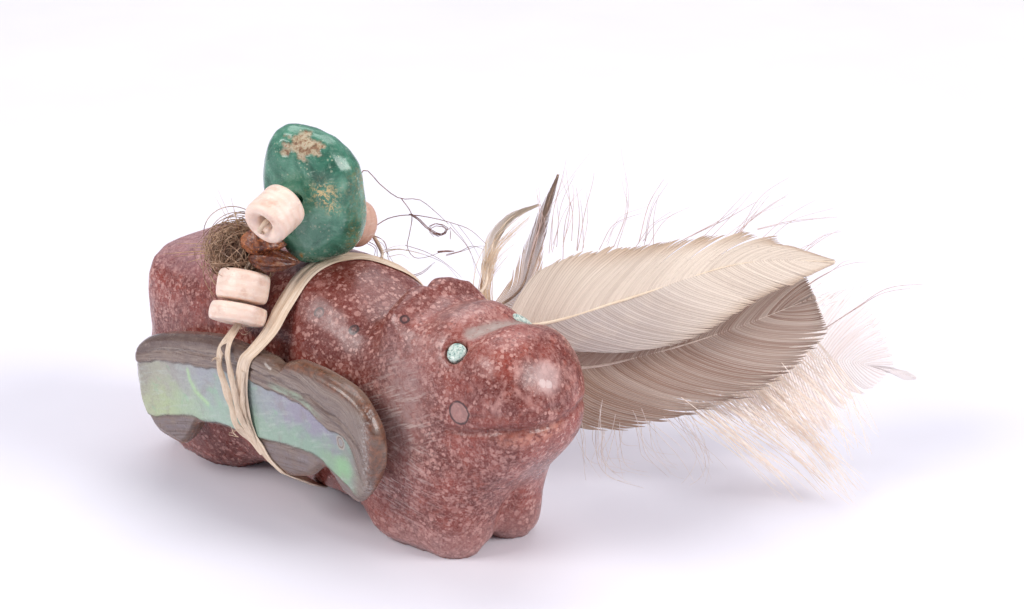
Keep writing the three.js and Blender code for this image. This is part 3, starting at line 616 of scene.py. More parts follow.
@dataclass(frozen=True)
class RedStone:
    """Polished dark red stone with pinkish specks and worn, scratched places."""

    deep: Chip = (98, 34, 26)
    red: Chip = (138, 58, 46)
    rust: Chip = (166, 84, 66)
    speck: Chip = (196, 146, 136)
    bloom: Chip = (172, 124, 116)

    def material(self) -> bpy.types.Material:
        """Builds the finish."""
        p = Paint("red_stone_polished")
        shaken, ruffled = p.shaken(1.1, 0.9), p.shaken(3.2, 0.34)
        graze, scuffed, cloudy_and_foot_light = p.mark("graze"), p.mark("scuffed"), p.mark("cloudy_and_foot_light")
        p.body = p.mix(p.noise(0.16, 4).step(0.36, 0.66), self.deep, self.red)
        p.lay(p.noise(0.7, 4, 0.65).step(0.46, 0.74) * 0.6, self.rust)
        p.lay(p.noise(0.30, 3).step(0.60, 0.30) * 0.35, self.deep)
        saddle = p.axis(0).step(-8.0, 2.0) * p.axis(0).step(22.0, 13.0) * p.axis(2).step(23.0, 30.0)
        p.lay(saddle * 0.7, self.deep)
        # The mark below is the stone's cloudiness, plus painted light on the front right feet.
        mottle = p.noise(1.9, 5, 0.76, 0.6, ruffled).step(0.48, 0.60)
        p.lay(mottle * (cloudy_and_foot_light * 0.60 + 0.14), self.bloom)
        net = p.noise(0.95, 5, 0.74, 1.0, ruffled).step(0.53, 0.62)
        p.lay(net * (cloudy_and_foot_light * 0.45 + 0.12), self.speck)
        speckled = 1 - p.axis(0).step(24.5, 31.0) * p.axis(2).step(24.0, 28.0) * 0.65
        fine = p.spots(1.7, 0.60, 0.30, ruffled, 1)
        p.lay(fine * p.noise(0.24, 3).step(0.40, 0.60, 0.2, 0.8), self.speck)
        grit = p.noise(3.4, 4, 0.75, 0.3).step(0.56, 0.66)
        p.lay(grit * 0.45, (204, 158, 148))
        blurred = p.noise(2.4, 4, 0.7).step(0.30, 0.55, 0.35, 1.0)
        p.lay(p.spots(0.95, 0.52, 0.46, shaken) * blurred * speckled * 0.62, self.speck)
        p.lay(p.spots(0.50, 0.40, 0.72, shaken, 2) * blurred * speckled * 0.50, (190, 134, 124))
        streaked = p.noise(1.0, 4, 0.6, 0.8, p.stretched((0.34, 0.34, 0.12))).step(0.50, 0.68)
        p.lay(streaked * (1 - speckled) * 0.85, (202, 150, 140))
        p.lay(p.spots(1.9, 0.5, 0.62, ruffled) * 0.65, self.deep)
        hatch_one = p.noise(1.0, 4, 0.6, 0.25, p.stretched((0.28, 0.6, 3.4), (0, 26, 0)))
        hatch_two = p.noise(1.0, 4, 0.6, 0.25, p.stretched((0.28, 0.6, 3.2), (0, -12, 0)))
        upper_half = (p.axis(2) + p.noise(0.3, 2) * 3.0).step(19.6, 21.2)
        hatch = hatch_one.step(0.52, 0.60) * upper_half + hatch_two.step(0.52, 0.60) * (1 - upper_half)
        hatch = hatch * p.noise(0.45, 4, 0.7).step(0.36, 0.56)
        p.lay(scuffed * p.noise(1.2, 4, 0.7).step(0.30, 0.62, 0.3, 0.8), (176, 150, 146))
        p.lay(hatch * graze * 0.80, (206, 182, 174))
        # Painted sheen: upward faces of the rump are lightened with a mauve-grey reflection of the light
        # above.
        painted_sheen = p.facing(2).step(0.30, 0.95) * p.axis(0).step(-4.0, -26.0) * 0.5
        p.lay(painted_sheen * p.noise(0.5, 4).step(0.25, 0.6, 0.6, 1.0), (176, 142, 146))
        strokes = p.noise(1.0, 4, 0.65, 0.2, p.stretched((5.0, 0.8, 5.0), (0, 0, 12))).step(0.30, 0.46)
        p.lay(p.mark("bare") * strokes * 0.95, (160, 142, 134))
        # Painted shade along the carved mouth and lip lines.
        p.lay(p.mark("dark") * 0.62, (78, 30, 26))
        # Pink-orange band on the lower lip: partly the stone's colour, partly a painted highlight.
        p.lay(p.mark("lip_tint_and_highlight") * p.noise(1.2, 3).step(0.35, 0.6) * 0.6, (212, 144, 122))
        # Pale spot on the muzzle tip: partly the stone's own pale patch, partly a painted highlight with
        # white glints.
        away = p.from_point((40.4, -1.2, 31.4), p.shaken(0.55, 1.5))
        p.lay(away.step(1.2, 3.3, 0.62, 0.0), (204, 172, 166))
        p.lay(away.step(1.4, 2.6, 0.5, 0.0) * p.spots(0.8, 0.6, 0.3, shaken, 1), (226, 206, 200))
        # Painted light: the low front legs are lightened where light falls on the front feet.
        painted_foot_light = p.axis(2).step(8.0, 1.0) * p.axis(0).step(13.0, 20.0)
        p.lay(painted_foot_light * p.noise(1.4, 4, 0.7).step(0.3, 0.6, 0.4, 1.0) * 0.45, (200, 160, 154))
        for point, radius, fill in (
            ((31.3, -9.8, 25.8), 1.65, (168, 130, 124)),
            ((1.7, -9.5, 32.7), 0.74, (92, 72, 70)),
            ((8.2, -8.3, 31.3), 0.78, (92, 72, 70)),
            ((18.0, -7.5, 35.6), 0.6, (130, 88, 84)),
        ):
            away = p.from_point(point, p.shaken(1.4, 0.22))
            p.lay(away.step(radius - 0.08, radius + 0.08, 0.7, 0.0), p.mix(mottle * 0.6, fill, self.speck))
            ring = (away - radius).maths("ABSOLUTE").step(0.06, 0.26, 1.0, 0.0)
            broken = p.noise(0.45, 2).step(0.38, 0.54, 0.15, 0.85)
            p.lay(ring * broken, (52, 34, 36))
        relief = p.noise(6.0, 4, 0.6) * 0.30 + hatch * graze * 0.5 + p.noise(0.7, 3) * 0.8
        rough = p.noise(1.6, 4).step(0.3, 0.7, 0.25, 0.42)
        rough = rough + graze * 0.20 + p.mark("bare") * 0.2 + scuffed * 0.1
        return p.shade(rough, Normal=p.bump(relief, 0.09, 0.5), Coat_Weight=0.12, Coat_Roughness=0.22)


@dataclass(frozen=True)
class PaleTurquoise:
    """Pale flecked turquoise of the inlaid eyes."""

    def material(self) -> bpy.types.Material:
        """Builds the finish."""
        p = Paint("pale_turquoise_inlay")
        patches = p.noise(1.9, 4, 0.6, 0.4)
        stops = ((0.34, (92, 122, 118)), (0.45, (166, 190, 180)), (0.60, (212, 218, 208)))
        p.body = p.ramp(patches, stops)
        flecks = p.noise(2.6, 3, 0.6, 0.8).step(0.57, 0.66)
        p.lay(flecks * 0.8, (86, 104, 100))
        return p.shade(p.noise(3, 3).step(0.3, 0.7, 0.2, 0.4), Normal=p.bump(patches, 0.08, 0.5))


@dataclass(frozen=True)
class GreenTurquoise:
    """Polished green turquoise with a patch of brown matrix and gold specks."""

    def material(self) -> bpy.types.Material:
        """Builds the finish."""
        p = Paint("green_turquoise_polished")
        greens = (
            (0.30, (38, 82, 64)), (0.46, (58, 114, 92)), (0.58, (88, 142, 118)), (0.74, (132, 172, 152)),
        )
        p.body = p.ramp(p.noise(0.22, 5, 0.62, 0.8), greens)
        veil = p.noise(0.8, 5, 0.7, 1.2).step(0.50, 0.72)
        p.lay(veil * 0.5, (138, 168, 150))
        # Painted light: upward faces of the nugget are lightened.
        p.lay(p.facing(2).step(0.35, 0.95) * 0.25, (84, 142, 118))
        p.lay(p.noise(2.8, 4, 0.7).step(0.60, 0.72) * 0.5, (32, 70, 58))
        dust = p.spots(2.4, 0.5, 0.62, p.shaken(3.0, 0.3), 1) * p.noise(0.4, 3).step(0.45, 0.62)
        p.lay(dust * 0.55, (176, 186, 158))
        scratch = p.noise(1.0, 4, 0.65, 0.3, p.stretched((0.5, 0.5, 5.5), (24, 30, 0))).step(0.60, 0.68)
        p.lay(scratch * p.noise(0.5, 3).step(0.52, 0.62) * 0.6, (170, 190, 170))
        moss = p.mark("moss") * p.noise(1.9, 4, 0.75).step(0.46, 0.60)
        p.lay(moss * 0.85, (136, 112, 48))
        crumbs = p.noise(1.1, 5, 0.78, 0.5)
        browns = (
            (0.30, (70, 76, 56)), (0.42, (134, 96, 70)), (0.50, (166, 146, 116)), (0.58, (188, 178, 152)),
            (0.68, (150, 94, 64)),
        )
        matrix = p.ramp(crumbs, browns)
        p.lay(p.mark("matrix"), matrix)
        gold = p.mark("gold") * p.noise(1.9, 4, 0.75, 0.6).step(0.49, 0.57)
        p.lay(gold * 0.95, (208, 182, 130))
        amber = p.mix(p.noise(1.6, 4).step(0.4, 0.6), (176, 112, 40), (222, 176, 96))
        p.lay(p.mark("amber"), amber)
        relief = p.noise(0.8, 4) * 0.6 + p.mark("matrix") * crumbs * 0.9
        rough = p.noise(1.2, 3).step(0.3, 0.7, 0.18, 0.32) + p.mark("matrix") * 0.45
        return p.shade(rough, Normal=p.bump(relief, 0.14, 0.5), Coat_Weight=0.22, Coat_Roughness=0.16)


@dataclass(frozen=True)
class BeadShell:
    """Cream-pink shell with faint growth bands, worn round the edges."""

    axis: Spot = (0, 0, 1)
    flushed: bool = False

    def material(self) -> bpy.types.Material:
        """Builds the finish."""
        p = Paint("bead_shell_cream")
        along = p.vector("DOT_PRODUCT", p.mm, self.axis, "Value")
        shake = p.noise(0.5, 4) * 1.6
        bands = ((along + shake) * 5.5).maths("SINE").step(-0.6, 1.0)
        light, warm, deep = (238, 214, 198), (226, 190, 168), (198, 148, 122)
        if self.flushed:
            light, warm, deep = (208, 168, 148), (190, 138, 112), (156, 96, 72)
        p.body = p.mix(bands * 0.35, light, warm)
        p.lay(p.noise(0.35, 4, 0.6).step(0.5, 0.75) * 0.6, deep)
        streaks = p.noise(1.0, 4, 0.65, 0.3, p.stretched((0.8, 0.8, 4.5))).step(0.52, 0.72)
        p.lay(streaks * 0.35, (250, 240, 228))
        p.lay(p.noise(3.5, 3, 0.7).step(0.66, 0.74) * 0.7, (128, 98, 82))
        relief = p.noise(1.6, 4) * 0.7 + bands * 0.2
        return p.shade(
            p.noise(1.2, 3).step(0.3, 0.7, 0.30, 0.48),
            Normal=p.bump(relief, 0.10, 0.5),
            Subsurface_Weight=0.25,
            Subsurface_Radius=(0.0016, 0.0010, 0.0007),
            Subsurface_Scale=0.6,
        )


@dataclass(frozen=True)
class PaleFloor:
    """Plain matt white sweep."""

    def material(self) -> bpy.types.Material:
        """Builds the finish."""
        p = Paint("pale_floor")
        p.body = p.mix(p.noise(0.02, 3).step(0.3, 0.7), (228, 226, 234), (232, 230, 238))
        return p.shade(0.8, Specular_IOR_Level=0.15)


@dataclass(frozen=True)
class Groove:
    """A line cut in the stone, and the colour laid along it: painted shade in the mouth lines, worn pale
    strokes in the others.
    """

    path: Path
    depth: float
    width: float
    mark: str
    shade_and_wear: float
    spread: float
    power: int = 2
    ripple: float = 0.0


@dataclass
class Bear:
    """The carved bear, with its mouth, brow groove and worn places cut in."""

    voxel: float = 0.42
    # The mouth and lip lines carry painted shade; the brow and cleft lines carry worn pale strokes.
    mouth: Groove = Groove(
        (
            (29.4, -10.2, 22.7), (33.3, -9.6, 23.2), (38.1, -8.5, 24.6), (40.8, -6.1, 24.8),
            (42.1, -2.4, 24.6), (42.3, 1.5, 25.2), (41.5, 4.9, 25.9), (38.0, 8.6, 25.2), (33.0, 9.6, 24.0),
        ),
        0.5, 0.55, "dark", 0.75, 0.45,
    )
    lip_line: Groove = Groove(
        ((32.6, -9.7, 25.8), (35.1, -9.4, 26.2), (38.1, -8.5, 27.0), (41.0, -5.4, 27.5), (42.1, -0.4, 27.3)),
        0.22, 0.35, "dark", 0.5, 0.3,
    )
    brow: Groove = Groove(
        ((28.4, -4.2, 35.2), (29.2, -1.5, 35.6), (29.7, 0.6, 35.8), (29.9, 5.6, 35.6)),
        0.38, 0.75, "bare", 1.0, 1.25, power=4, ripple=0.25,
    )
    cleft_scratch: Groove = Groove(
        ((29.0, 0.2, 2.5), (31.0, 0.6, 6.5), (32.8, 1.2, 10.3)), 0.12, 0.3, "bare", 0.7, 0.35
    )
    swells: tuple = (
        (1.2, (15.6, -10.4, 3.0), (5.0, 3.0, 3.4)),
        (1.1, (30.0, 6.2, 2.8), (3.0, 3.4, 4.0)),
        (-0.7, (31.6, 4.4, 36.4), (3.4, 2.4, 2.2)),
    )
    clouds_and_foot_light: tuple = (
        (1.0, (22.0, -11.0, 20.0), (9.0, 12.0, 12.0)),
        (1.0, (34.0, -2.0, 14.0), (9.0, 12.0, 10.0)),
        # This entry is painted light on the front right feet; the others are the stone's own cloudiness.
        (1.0, (22.0, -8.0, 3.0), (9.0, 6.0, 5.0)),
        (0.7, (26.0, -1.0, 36.0), (7.0, 9.0, 4.0)),
    )
    # Line of the lower lip's pink-orange band, which is partly a painted highlight.
    lip_tint_and_highlight: Path = ((33.0, -9.4, 22.2), (38.0, -8.6, 23.0), (41.4, -5.0, 23.4), (42.0, -0.6, 23.8))
    sole: float = 0.25

    def build(self) -> bpy.types.Object:
        """Remeshes the solid finely, cuts the fine carving and marks the worn places."""
        piece = Bench.fine_copy("bear_carving", "stone_bear", self.voxel, 7)
        points, normals = Bench.points(piece), Bench.normals(piece)
        for height, middle, reach in self.swells:
            points += normals * (height * near(points, middle, reach))[:, None]
        marks = self.carve(points, normals)
        x, y, z = points.T
        right = eased(-y, 1.0, 7.0)
        marks["graze"] = np.clip(1.25 * right * faded(x - 20.0, 6.5) * faded(z - 18.0, 11.0), 0, 1)
        flank = right * near(points, (21.0, -11.0, 24.0), (4.5, 9.0, 9.0))
        marks["scuffed"] = np.maximum(flank, 0.45 * near(points, (23.5, -2.0, 37.5), (4.0, 6.0, 2.6)))
        clouds_and_foot_light = [share * near(points, middle, reach) for share, middle, reach in self.clouds_and_foot_light]
        cloudy_and_foot_light = np.max([0.8 * eased(-x, 22.0, 34.0), *clouds_and_foot_light], axis=0)
        marks["cloudy_and_foot_light"] = np.clip(0.22 + cloudy_and_foot_light, 0, 1)
        away, share = from_path(points, self.lip_tint_and_highlight)
        marks["lip_tint_and_highlight"] = faded(away, 1.0) * eased(share, 0.15, 0.6)
        Bench.place(piece, points)
        for name, values in marks.items():
            Bench.mark(piece, name, values)
        Bench.smooth(piece, CREASE)
        Bench.finish(piece, RedStone().material(), "red_stone", "bear_carving")
        return piece

    def carve(self, points: np.ndarray, normals: np.ndarray) -> dict[str, np.ndarray]:
        """Cuts the grooves into the points, flattens the soles and gives the painted shade and the worn
        strokes along them by name.
        """
        cut = np.zeros(len(points))
        marks = {"dark": np.zeros(len(points)), "bare": np.zeros(len(points))}
        for groove in (self.mouth, self.lip_line, self.brow, self.cleft_scratch):
            away, _ = from_path(points, groove.path)
            wave = np.sin(points[:, 0] * 6.0 + points[:, 1] * 1.5)
            depth = groove.depth * (1 - groove.ripple + groove.ripple * wave)
            cut += depth * faded(away, groove.width, groove.power)
            shade_and_wear = groove.shade_and_wear * faded(away, groove.spread, groove.power)
            marks[groove.mark] = np.maximum(marks[groove.mark], shade_and_wear)
        points -= normals * cut[:, None]
        points[points[:, 2] < self.sole, 2] = 0.0
        return marks


class Side(Enum):
    """Which flank a piece is on."""

    RIGHT = -1
    LEFT = 1


@dataclass
class Eyes:
    """Two small inlaid discs, the left one uneven and standing further out."""

    radius: float = 1.44
    rise: float = 0.30
    sunk: float = 0.8
    rim: float = 0.25

    def build(self) -> None:
        """Spins a domed disc for each eye."""
        finish = PaleTurquoise().material()
        for side in Side:
            name = side.name.lower()
            low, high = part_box(f"eye_{name}")
            centre = bear_mm(np.array((low, high))).mean(axis=0)
            spread = Bench.points(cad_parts[f"eye_{name}"])
            spread -= spread.mean(axis=0)
            thinnest = np.linalg.svd(spread, full_matrices=False)[2][2]
            outward = thinnest if thinnest[1] * side.value > 0 else -thinnest
            piece = self.disc(name, side, centre, outward, (spread @ outward).max())
            Bench.finish(piece, finish, "pale_turquoise", f"eye_{name}")

    def disc(
        self, name: str, side: Side, centre: np.ndarray, outward: np.ndarray, reach: float
    ) -> bpy.types.Object:
        """One domed disc.

        Args:
            name: Name of the side.
            side: Which eye it is.
            centre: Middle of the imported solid.
            outward: The way that the eye faces.
            reach: How far the solid stands out from its middle.

        Returns:
            The disc, with its rim sunk in the stone.
        """
        across = unit(np.cross(outward, (0, 0, 1.0)))
        upward = np.cross(across, outward)
        tall, stand, raised, uneven = (1.5, 2.1, 0.9, 0.12) if side is Side.LEFT else (1.0, 1.0, 0.0, 0.0)
        base = centre + outward * (reach - self.rise) + raised * upward

        def dome(along: np.ndarray, round_: np.ndarray) -> np.ndarray:
            """A disc that runs from its hidden rim to its domed middle."""
            angle = round_ * math.tau
            wobble = 1 + 0.05 * np.sin(3 * angle + side.value) + uneven * np.sin(2 * angle)
            hidden = along < self.rim
            share = np.where(hidden, 1.0, 1 - (along - self.rim) / (1 - self.rim))
            domed = self.rise * np.sqrt(np.clip(1 - share**2 * 0.98, 0, 1))
            height = np.where(hidden, -self.sunk + along * self.sunk / self.rim, domed)
            radius = self.radius * share * wobble
            risen = (height * np.where(height > 0, stand, 1.0))[:, None] * outward
            return base + ring(angle, radius, radius * tall, across, upward) + risen

        return Bench.drape(f"eye_inlay_{name}", 16, 36, dome, closed=True)


@dataclass
class Nugget:
    """The green nugget, worn smooth, with a shallow chipped patch of matrix."""

    voxel: float = 0.3
    patch: Spot = (-4.4, -6.2, 56.6)
    spike: Path = ((-4.6, -6.6, 56.2), (-7.0, -8.0, 55.3))
    flake: Spot = (-4.9, -6.3, 39.9)
    chip_depth: float = 0.30
    golds: tuple = (
        (1.0, (-0.9, -5.4, 49.6), (1.6, 2.5, 1.5)),
        (1.0, (0.0, -4.6, 47.2), (0.7, 1.5, 0.7)),
        (0.8, (-4.4, -7.4, 46.6), (0.5, 1.0, 0.6)),
    )

    def build(self) -> bpy.types.Object:
        """Smooths the solid, sinks its matrix patch and marks its flecks."""
        piece = Bench.fine_copy("turquoise_nugget", "nugget_stone", self.voxel, 9)
        points, normals = Bench.points(piece), Bench.normals(piece)
        aside = np.array(RIGHTWARD)
        share = eased((points - np.array((-5.9, -3.6, 0))) @ aside, 0.5, 6.0)
        low = 0.7 * eased(57.0 - points[:, 2], 0.0, 6.0) + 0.9 * eased(52.0 - points[:, 2], 0.0, 8.0)
        points += aside * (share * low)[:, None]
        points[:, 2] -= 1.2 * eased(45.0 - points[:, 2], 0.0, 5.0)
        x, y, z = points.copy().T
        ragged = 0.4 * np.sin(x * 2.6 + z * 1.3) + 0.35 * np.sin(z * 4.1 + y * 1.7)
        ragged += 0.2 * np.sin(x * 6.3 + y * 5.0)
        away = np.linalg.norm((points - np.array(self.patch)) * np.array((0.85, 0.9, 1.25)), axis=1)
        spike, _ = from_path(points, self.spike)
        matrix = np.maximum(1 - eased(away + ragged, 2.0, 2.5), 1 - eased(spike + ragged * 0.3, 0.35, 0.6))
        points -= normals * (self.chip_depth * matrix)[:, None]
        Bench.place(piece, points)
        x, y, z = points.T
        Bench.mark(piece, "matrix", matrix)
        Bench.mark(piece, "moss", faded(x - 0.9, 0.8) * eased(y, -3.5, -1.5) * eased(54.5 - z, 0.0, 4.0))
        gold = sum(share * near(points, middle, reach) for share, middle, reach in self.golds)
        Bench.mark(piece, "gold", np.clip(gold * 1.5, 0, 1))
        flake = np.linalg.norm((points - np.array(self.flake)) * np.array((1.5, 1.0, 0.8)), axis=1)
        Bench.mark(piece, "amber", 1 - eased(flake + ragged * 0.2, 0.65, 0.9))
        Bench.smooth(piece, CREASE)
        Bench.finish(piece, GreenTurquoise().material(), "green_turquoise", "turquoise_nugget")
        return piece


@dataclass
class Bead:
    """A drilled shell bead, ground by hand and not quite round."""

    name: str
    centre: Spot
    axis: Spot
    radius: float
    length: float
    seed: int
    hole: float = 1.15
    mouth: float = 0.45
    flushed: bool = False

    def build(self) -> bpy.types.Object:
        """Turns the profile round the axis and wears it."""
        half, edge, mouth = self.length / 2, min(0.7, self.length * 0.2), self.hole + self.mouth
        upper = [
            (self.radius, half * 0.4), (self.radius - 0.08, half - edge * 0.9),
            (self.radius - edge * 0.45, half - edge * 0.25), (self.radius - edge * 1.3, half - 0.02),
            (mouth + 0.25, half), (mouth, half - 0.12), (self.hole + 0.1, half - 0.8),
            (self.hole, half * 0.4),
        ]
        lower = [(radius, -height) for radius, height in upper[::-1]]
        profile = [(*spot, 0) for spot in (*lower, (self.radius + 0.02, 0), *upper)]
        rings = smooth_path(profile, 49)
        centre, axis = np.array(self.centre), unit(np.array(self.axis, dtype=float))
        across = unit(np.cross(axis, (0.3, 0.1, 1.0)))
        upward = np.cross(axis, across)

        def turned(along: np.ndarray, round_: np.ndarray) -> np.ndarray:
            """The worn profile at an angle round the axis."""
            angle = along * math.tau
            radius, height, _ = rings[nearest(round_, len(rings))].T
            outer = eased(radius, self.hole + 0.4, self.radius * 0.9)
            wear = 0.012 * np.sin(2 * angle + self.seed) + 0.01 * np.sin(5 * angle + self.seed * 2 + height)
            radius = radius * (1 + wear * outer)
            height = height * (1 + 0.025 * np.sin(angle + self.seed * 1.7) * outer)
            return centre + ring(angle, radius, radius, across, upward) + height[:, None] * axis

        piece = Bench.drape(f"bead_{self.name}_shell", 72, 48, turned)
        Bench.close_round(piece)
        finish = BeadShell(axis=tuple(axis), flushed=self.flushed).material()
        Bench.finish(piece, finish, "bead_shell", f"shell_bead_{self.name}")
        return piece


@dataclass(frozen=True)
class AbaloneShell:
    """Abalone with a band of nacre between layered brown lips."""

    above: tuple = (
        (-33, (138, 130, 120)), (-27, (164, 164, 144)), (-17, (152, 154, 160)), (-7, (146, 162, 156)),
        (4, (144, 138, 154)), (12, (136, 132, 148)), (16, (126, 142, 130)), (23, (126, 114, 112)),
    )
    below: tuple = (
        (-33, (172, 174, 146)), (-26, (168, 182, 140)), (-14, (154, 176, 160)), (-2, (144, 168, 150)),
        (9, (132, 158, 140)), (14.5, (138, 166, 132)), (18, (134, 130, 138)), (23, (126, 114, 108)),
    )

    @staticmethod
    def along(p: Paint, stops: tuple) -> Value:
        """A colour that changes with the place along the strip."""
        shaken = p.axis(0) + (p.noise(0.3, 3) - 0.5) * 7.0
        reach = {"Value": shaken, "From Min": STRIP_REAR, "From Max": STRIP_FRONT}
        place = p.node("ShaderNodeMapRange", reach, interpolation_type="LINEAR")
        length = STRIP_FRONT - STRIP_REAR
        return p.ramp(place, [((x - STRIP_REAR) / length, chip) for x, chip in stops])

    def material(self) -> bpy.types.Material:
        """Builds the finish."""
        p = Paint("abalone_shell_worn")
        height = p.mark("height")
        veil = (p.noise(0.35, 4, 0.6) - 0.5) * 1.1
        p.body = p.mix((height + veil).step(0.22, 0.80), self.along(p, self.below), self.along(p, self.above))
        silk = p.noise(1.0, 4, 0.6, 0.4, p.stretched((0.35, 1, 2.2), (0, 18, 0)))
        p.lay(silk.step(0.5, 0.75) * 0.5, (184, 192, 184))
        p.lay(p.noise(0.28, 4, 0.6, 0.6).step(0.50, 0.74) * 0.5, (140, 128, 126))
        flash = p.noise(0.55, 3, 0.5, 0.5, p.stretched((0.6, 1, 1.0), (0, -30, 0))).step(0.58, 0.74)
        p.lay(flash * 0.4, (134, 184, 144))
        glint = p.from_point((15.4, -17.8, 14.6), p.shaken(0.5, 1.4))
        p.lay(glint.step(0.4, 2.6, 0.7, 0.0), (136, 186, 134))
        p.lay(p.mark("arc") * 0.8, (172, 208, 152))
        nacre = p.body
        layers = p.mark("layers")
        bands = p.node("ShaderNodeCombineXYZ", {0: p.axis(0) * 0.06, 1: 0.0, 2: layers * 3.2})
        stripe = p.noise(1.0, 4, 0.65, 0.0, bands)
        browns = (
            (0.30, (72, 54, 46)), (0.40, (108, 86, 74)), (0.48, (148, 130, 116)), (0.55, (98, 76, 64)),
            (0.66, (156, 140, 126)),
        )
        p.body = p.ramp(stripe, browns)
        p.lay(p.noise(0.5, 4, 0.7).step(0.45, 0.75) * 0.5, (98, 76, 66))
        lilac = p.mark("lilac") * p.noise(0.4, 3).step(0.3, 0.6, 0.3, 0.9)
        p.lay(lilac, p.mix(stripe.step(0.40, 0.58), (92, 76, 74), (124, 112, 116)))
        grain = p.noise(0.9, 4, 0.7, 0.5, p.stretched((0.25, 1, 1.6), (0, 8, 0))).step(0.5, 0.7)
        p.lay(grain * 0.4, (122, 96, 82))
        sheen = layers.step(0.16, 0.34) * layers.step(0.95, 0.62)
        sheen = sheen * p.axis(0).step(-1.5, 1.5) * p.axis(0).step(12.0, 8.0)
        p.lay(sheen * p.noise(0.6, 4, 0.7).step(0.3, 0.6, 0.25, 0.85), (146, 162, 140))
        copper = p.mark("copper")
        rust = p.mix(p.noise(1.0, 4, 0.7).step(0.4, 0.66), (84, 50, 36), (130, 84, 60))
        p.lay(copper * p.noise(0.5, 3).step(0.3, 0.6, 0.6, 0.95), rust)
        p.lay(p.mark("browned") * p.noise(0.6, 4, 0.7).step(0.3, 0.6, 0.4, 0.95), (88, 66, 58))
        p.body = p.mix(p.mark("nacre"), p.body, nacre)
        seams = p.noise(0.9, 3).step(0.25, 0.5, 0.4, 1.0)
        p.lay(p.mark("seam") * seams * 0.8, (74, 52, 44))
        frost = p.mark("frost") * p.noise(2.2, 4, 0.75).step(0.46, 0.64)
        p.lay(frost * 0.8, (180, 172, 168))
        scuffs = p.noise(3.4, 4, 0.75, 0.3).step(0.66, 0.76)
        p.lay(scuffs * 0.5, (186, 180, 170))
        squash = np.array((1.0, 0.15, 0.72))
        flat = p.vector("MULTIPLY", p.shaken(0.9, 0.3), tuple(squash))
        away = p.from_point(squash * (14.7, -18.0, 18.4), flat)
        p.lay(away.step(0.78, 0.98, 0.8, 0.0), (176, 164, 152))
        p.lay((away - 0.60).maths("ABSOLUTE").step(0.04, 0.16, 0.8, 0.0), (96, 76, 66))
        p.lay(away.step(0.34, 0.44, 0.7, 0.0), (122, 124, 130))
        core = p.mix(p.noise(0.7, 5, 0.7), (96, 74, 62), (146, 128, 112))
        p.lay(p.mark("inside"), core)
        relief = stripe * (1 - p.mark("nacre")) * 0.9 + silk * 0.25 + scuffs * 0.3 + p.noise(2.4, 4) * 0.2
        rough = p.noise(1.1, 4).step(0.3, 0.7, 0.24, 0.42) + frost * 0.3 - p.mark("nacre") * 0.05
        return p.shade(rough, Normal=p.bump(relief, 0.16, 0.6), Coat_Weight=0.45, Coat_Roughness=0.12)


@dataclass(frozen=True)
class SinewFibre:
    """Tan split sinew, read along its own length."""

    across: float = 3.0

    def material(self) -> bpy.types.Material:
        """Builds the finish."""
        p = Paint(f"sinew_fibre_{self.across:.0f}")
        lengths = p.vector("MULTIPLY", p.uv(), (16.0, 9.0 * self.across, 1.0))
        fibres = p.noise(1.0, 5, 0.7, 0.5, lengths)
        wide = p.vector("MULTIPLY", p.uv(), (9.0, 1.6 * self.across, 1.0))
        broad = p.noise(1.0, 3, 0.6, 0.6, wide)
        tans = (
            (0.26, (182, 152, 124)), (0.42, (218, 192, 166)), (0.58, (234, 214, 192)),
            (0.74, (244, 230, 214)),
        )
        p.body = p.ramp(fibres, tans)
        p.lay(broad.step(0.45, 0.75) * 0.45, (192, 160, 126))
        p.lay(p.noise(0.35, 4).step(0.56, 0.76) * 0.4, (186, 146, 108))
        p.lay(p.mark("shadow") * 0.8, (112, 88, 72))
        relief = fibres * 0.8 + broad * 0.4
        return p.shade(fibres.step(0.3, 0.7, 0.5, 0.34), Normal=p.bump(relief, 0.18, 0.8))


@dataclass(frozen=True)
class Husk:
    """Resinous brown husk with orange crumbs."""

    def material(self) -> bpy.types.Material:
        """Builds the finish."""
        p = Paint("husk_resin")
        browns = ((0.32, (58, 24, 14)), (0.46, (112, 56, 32)), (0.60, (164, 98, 58)), (0.74, (206, 156, 108)))
        p.body = p.ramp(p.noise(0.8, 5, 0.65, 0.6), browns)
        p.lay(p.mark("crumb").step(0.8, 0.4) * 0.6, (70, 26, 18))
        crumbs = p.noise(1.9, 4, 0.7, 0.8).step(0.56, 0.64)
        p.lay(crumbs * p.mark("crumb") * 0.9, (206, 120, 56))
        p.lay(p.noise(3.2, 3, 0.7).step(0.68, 0.74) * p.mark("crumb"), (238, 220, 188))
        relief = p.noise(1.4, 5, 0.7)
        rough = p.noise(1.4, 3).step(0.3, 0.7, 0.18, 0.5)
        return p.shade(rough, Normal=p.bump(relief, 0.3, 0.9), Coat_Weight=0.4, Coat_Roughness=0.12)


@dataclass(frozen=True)
class Hair:
    """Fine hair or down of one colour, lighter and darker from strand to strand."""

    name: str
    dark: Chip
    light: Chip
    roughness: float = 0.5

    def material(self) -> bpy.types.Material:
        """Builds the finish."""
        p = Paint(self.name)
        p.body = p.mix(p.noise(0.7, 4, 0.7).step(0.32, 0.68), self.dark, self.light)
        p.lay(p.noise(5.0, 2).step(0.5, 0.8) * 0.3, self.light)
        return p.shade(self.roughness)


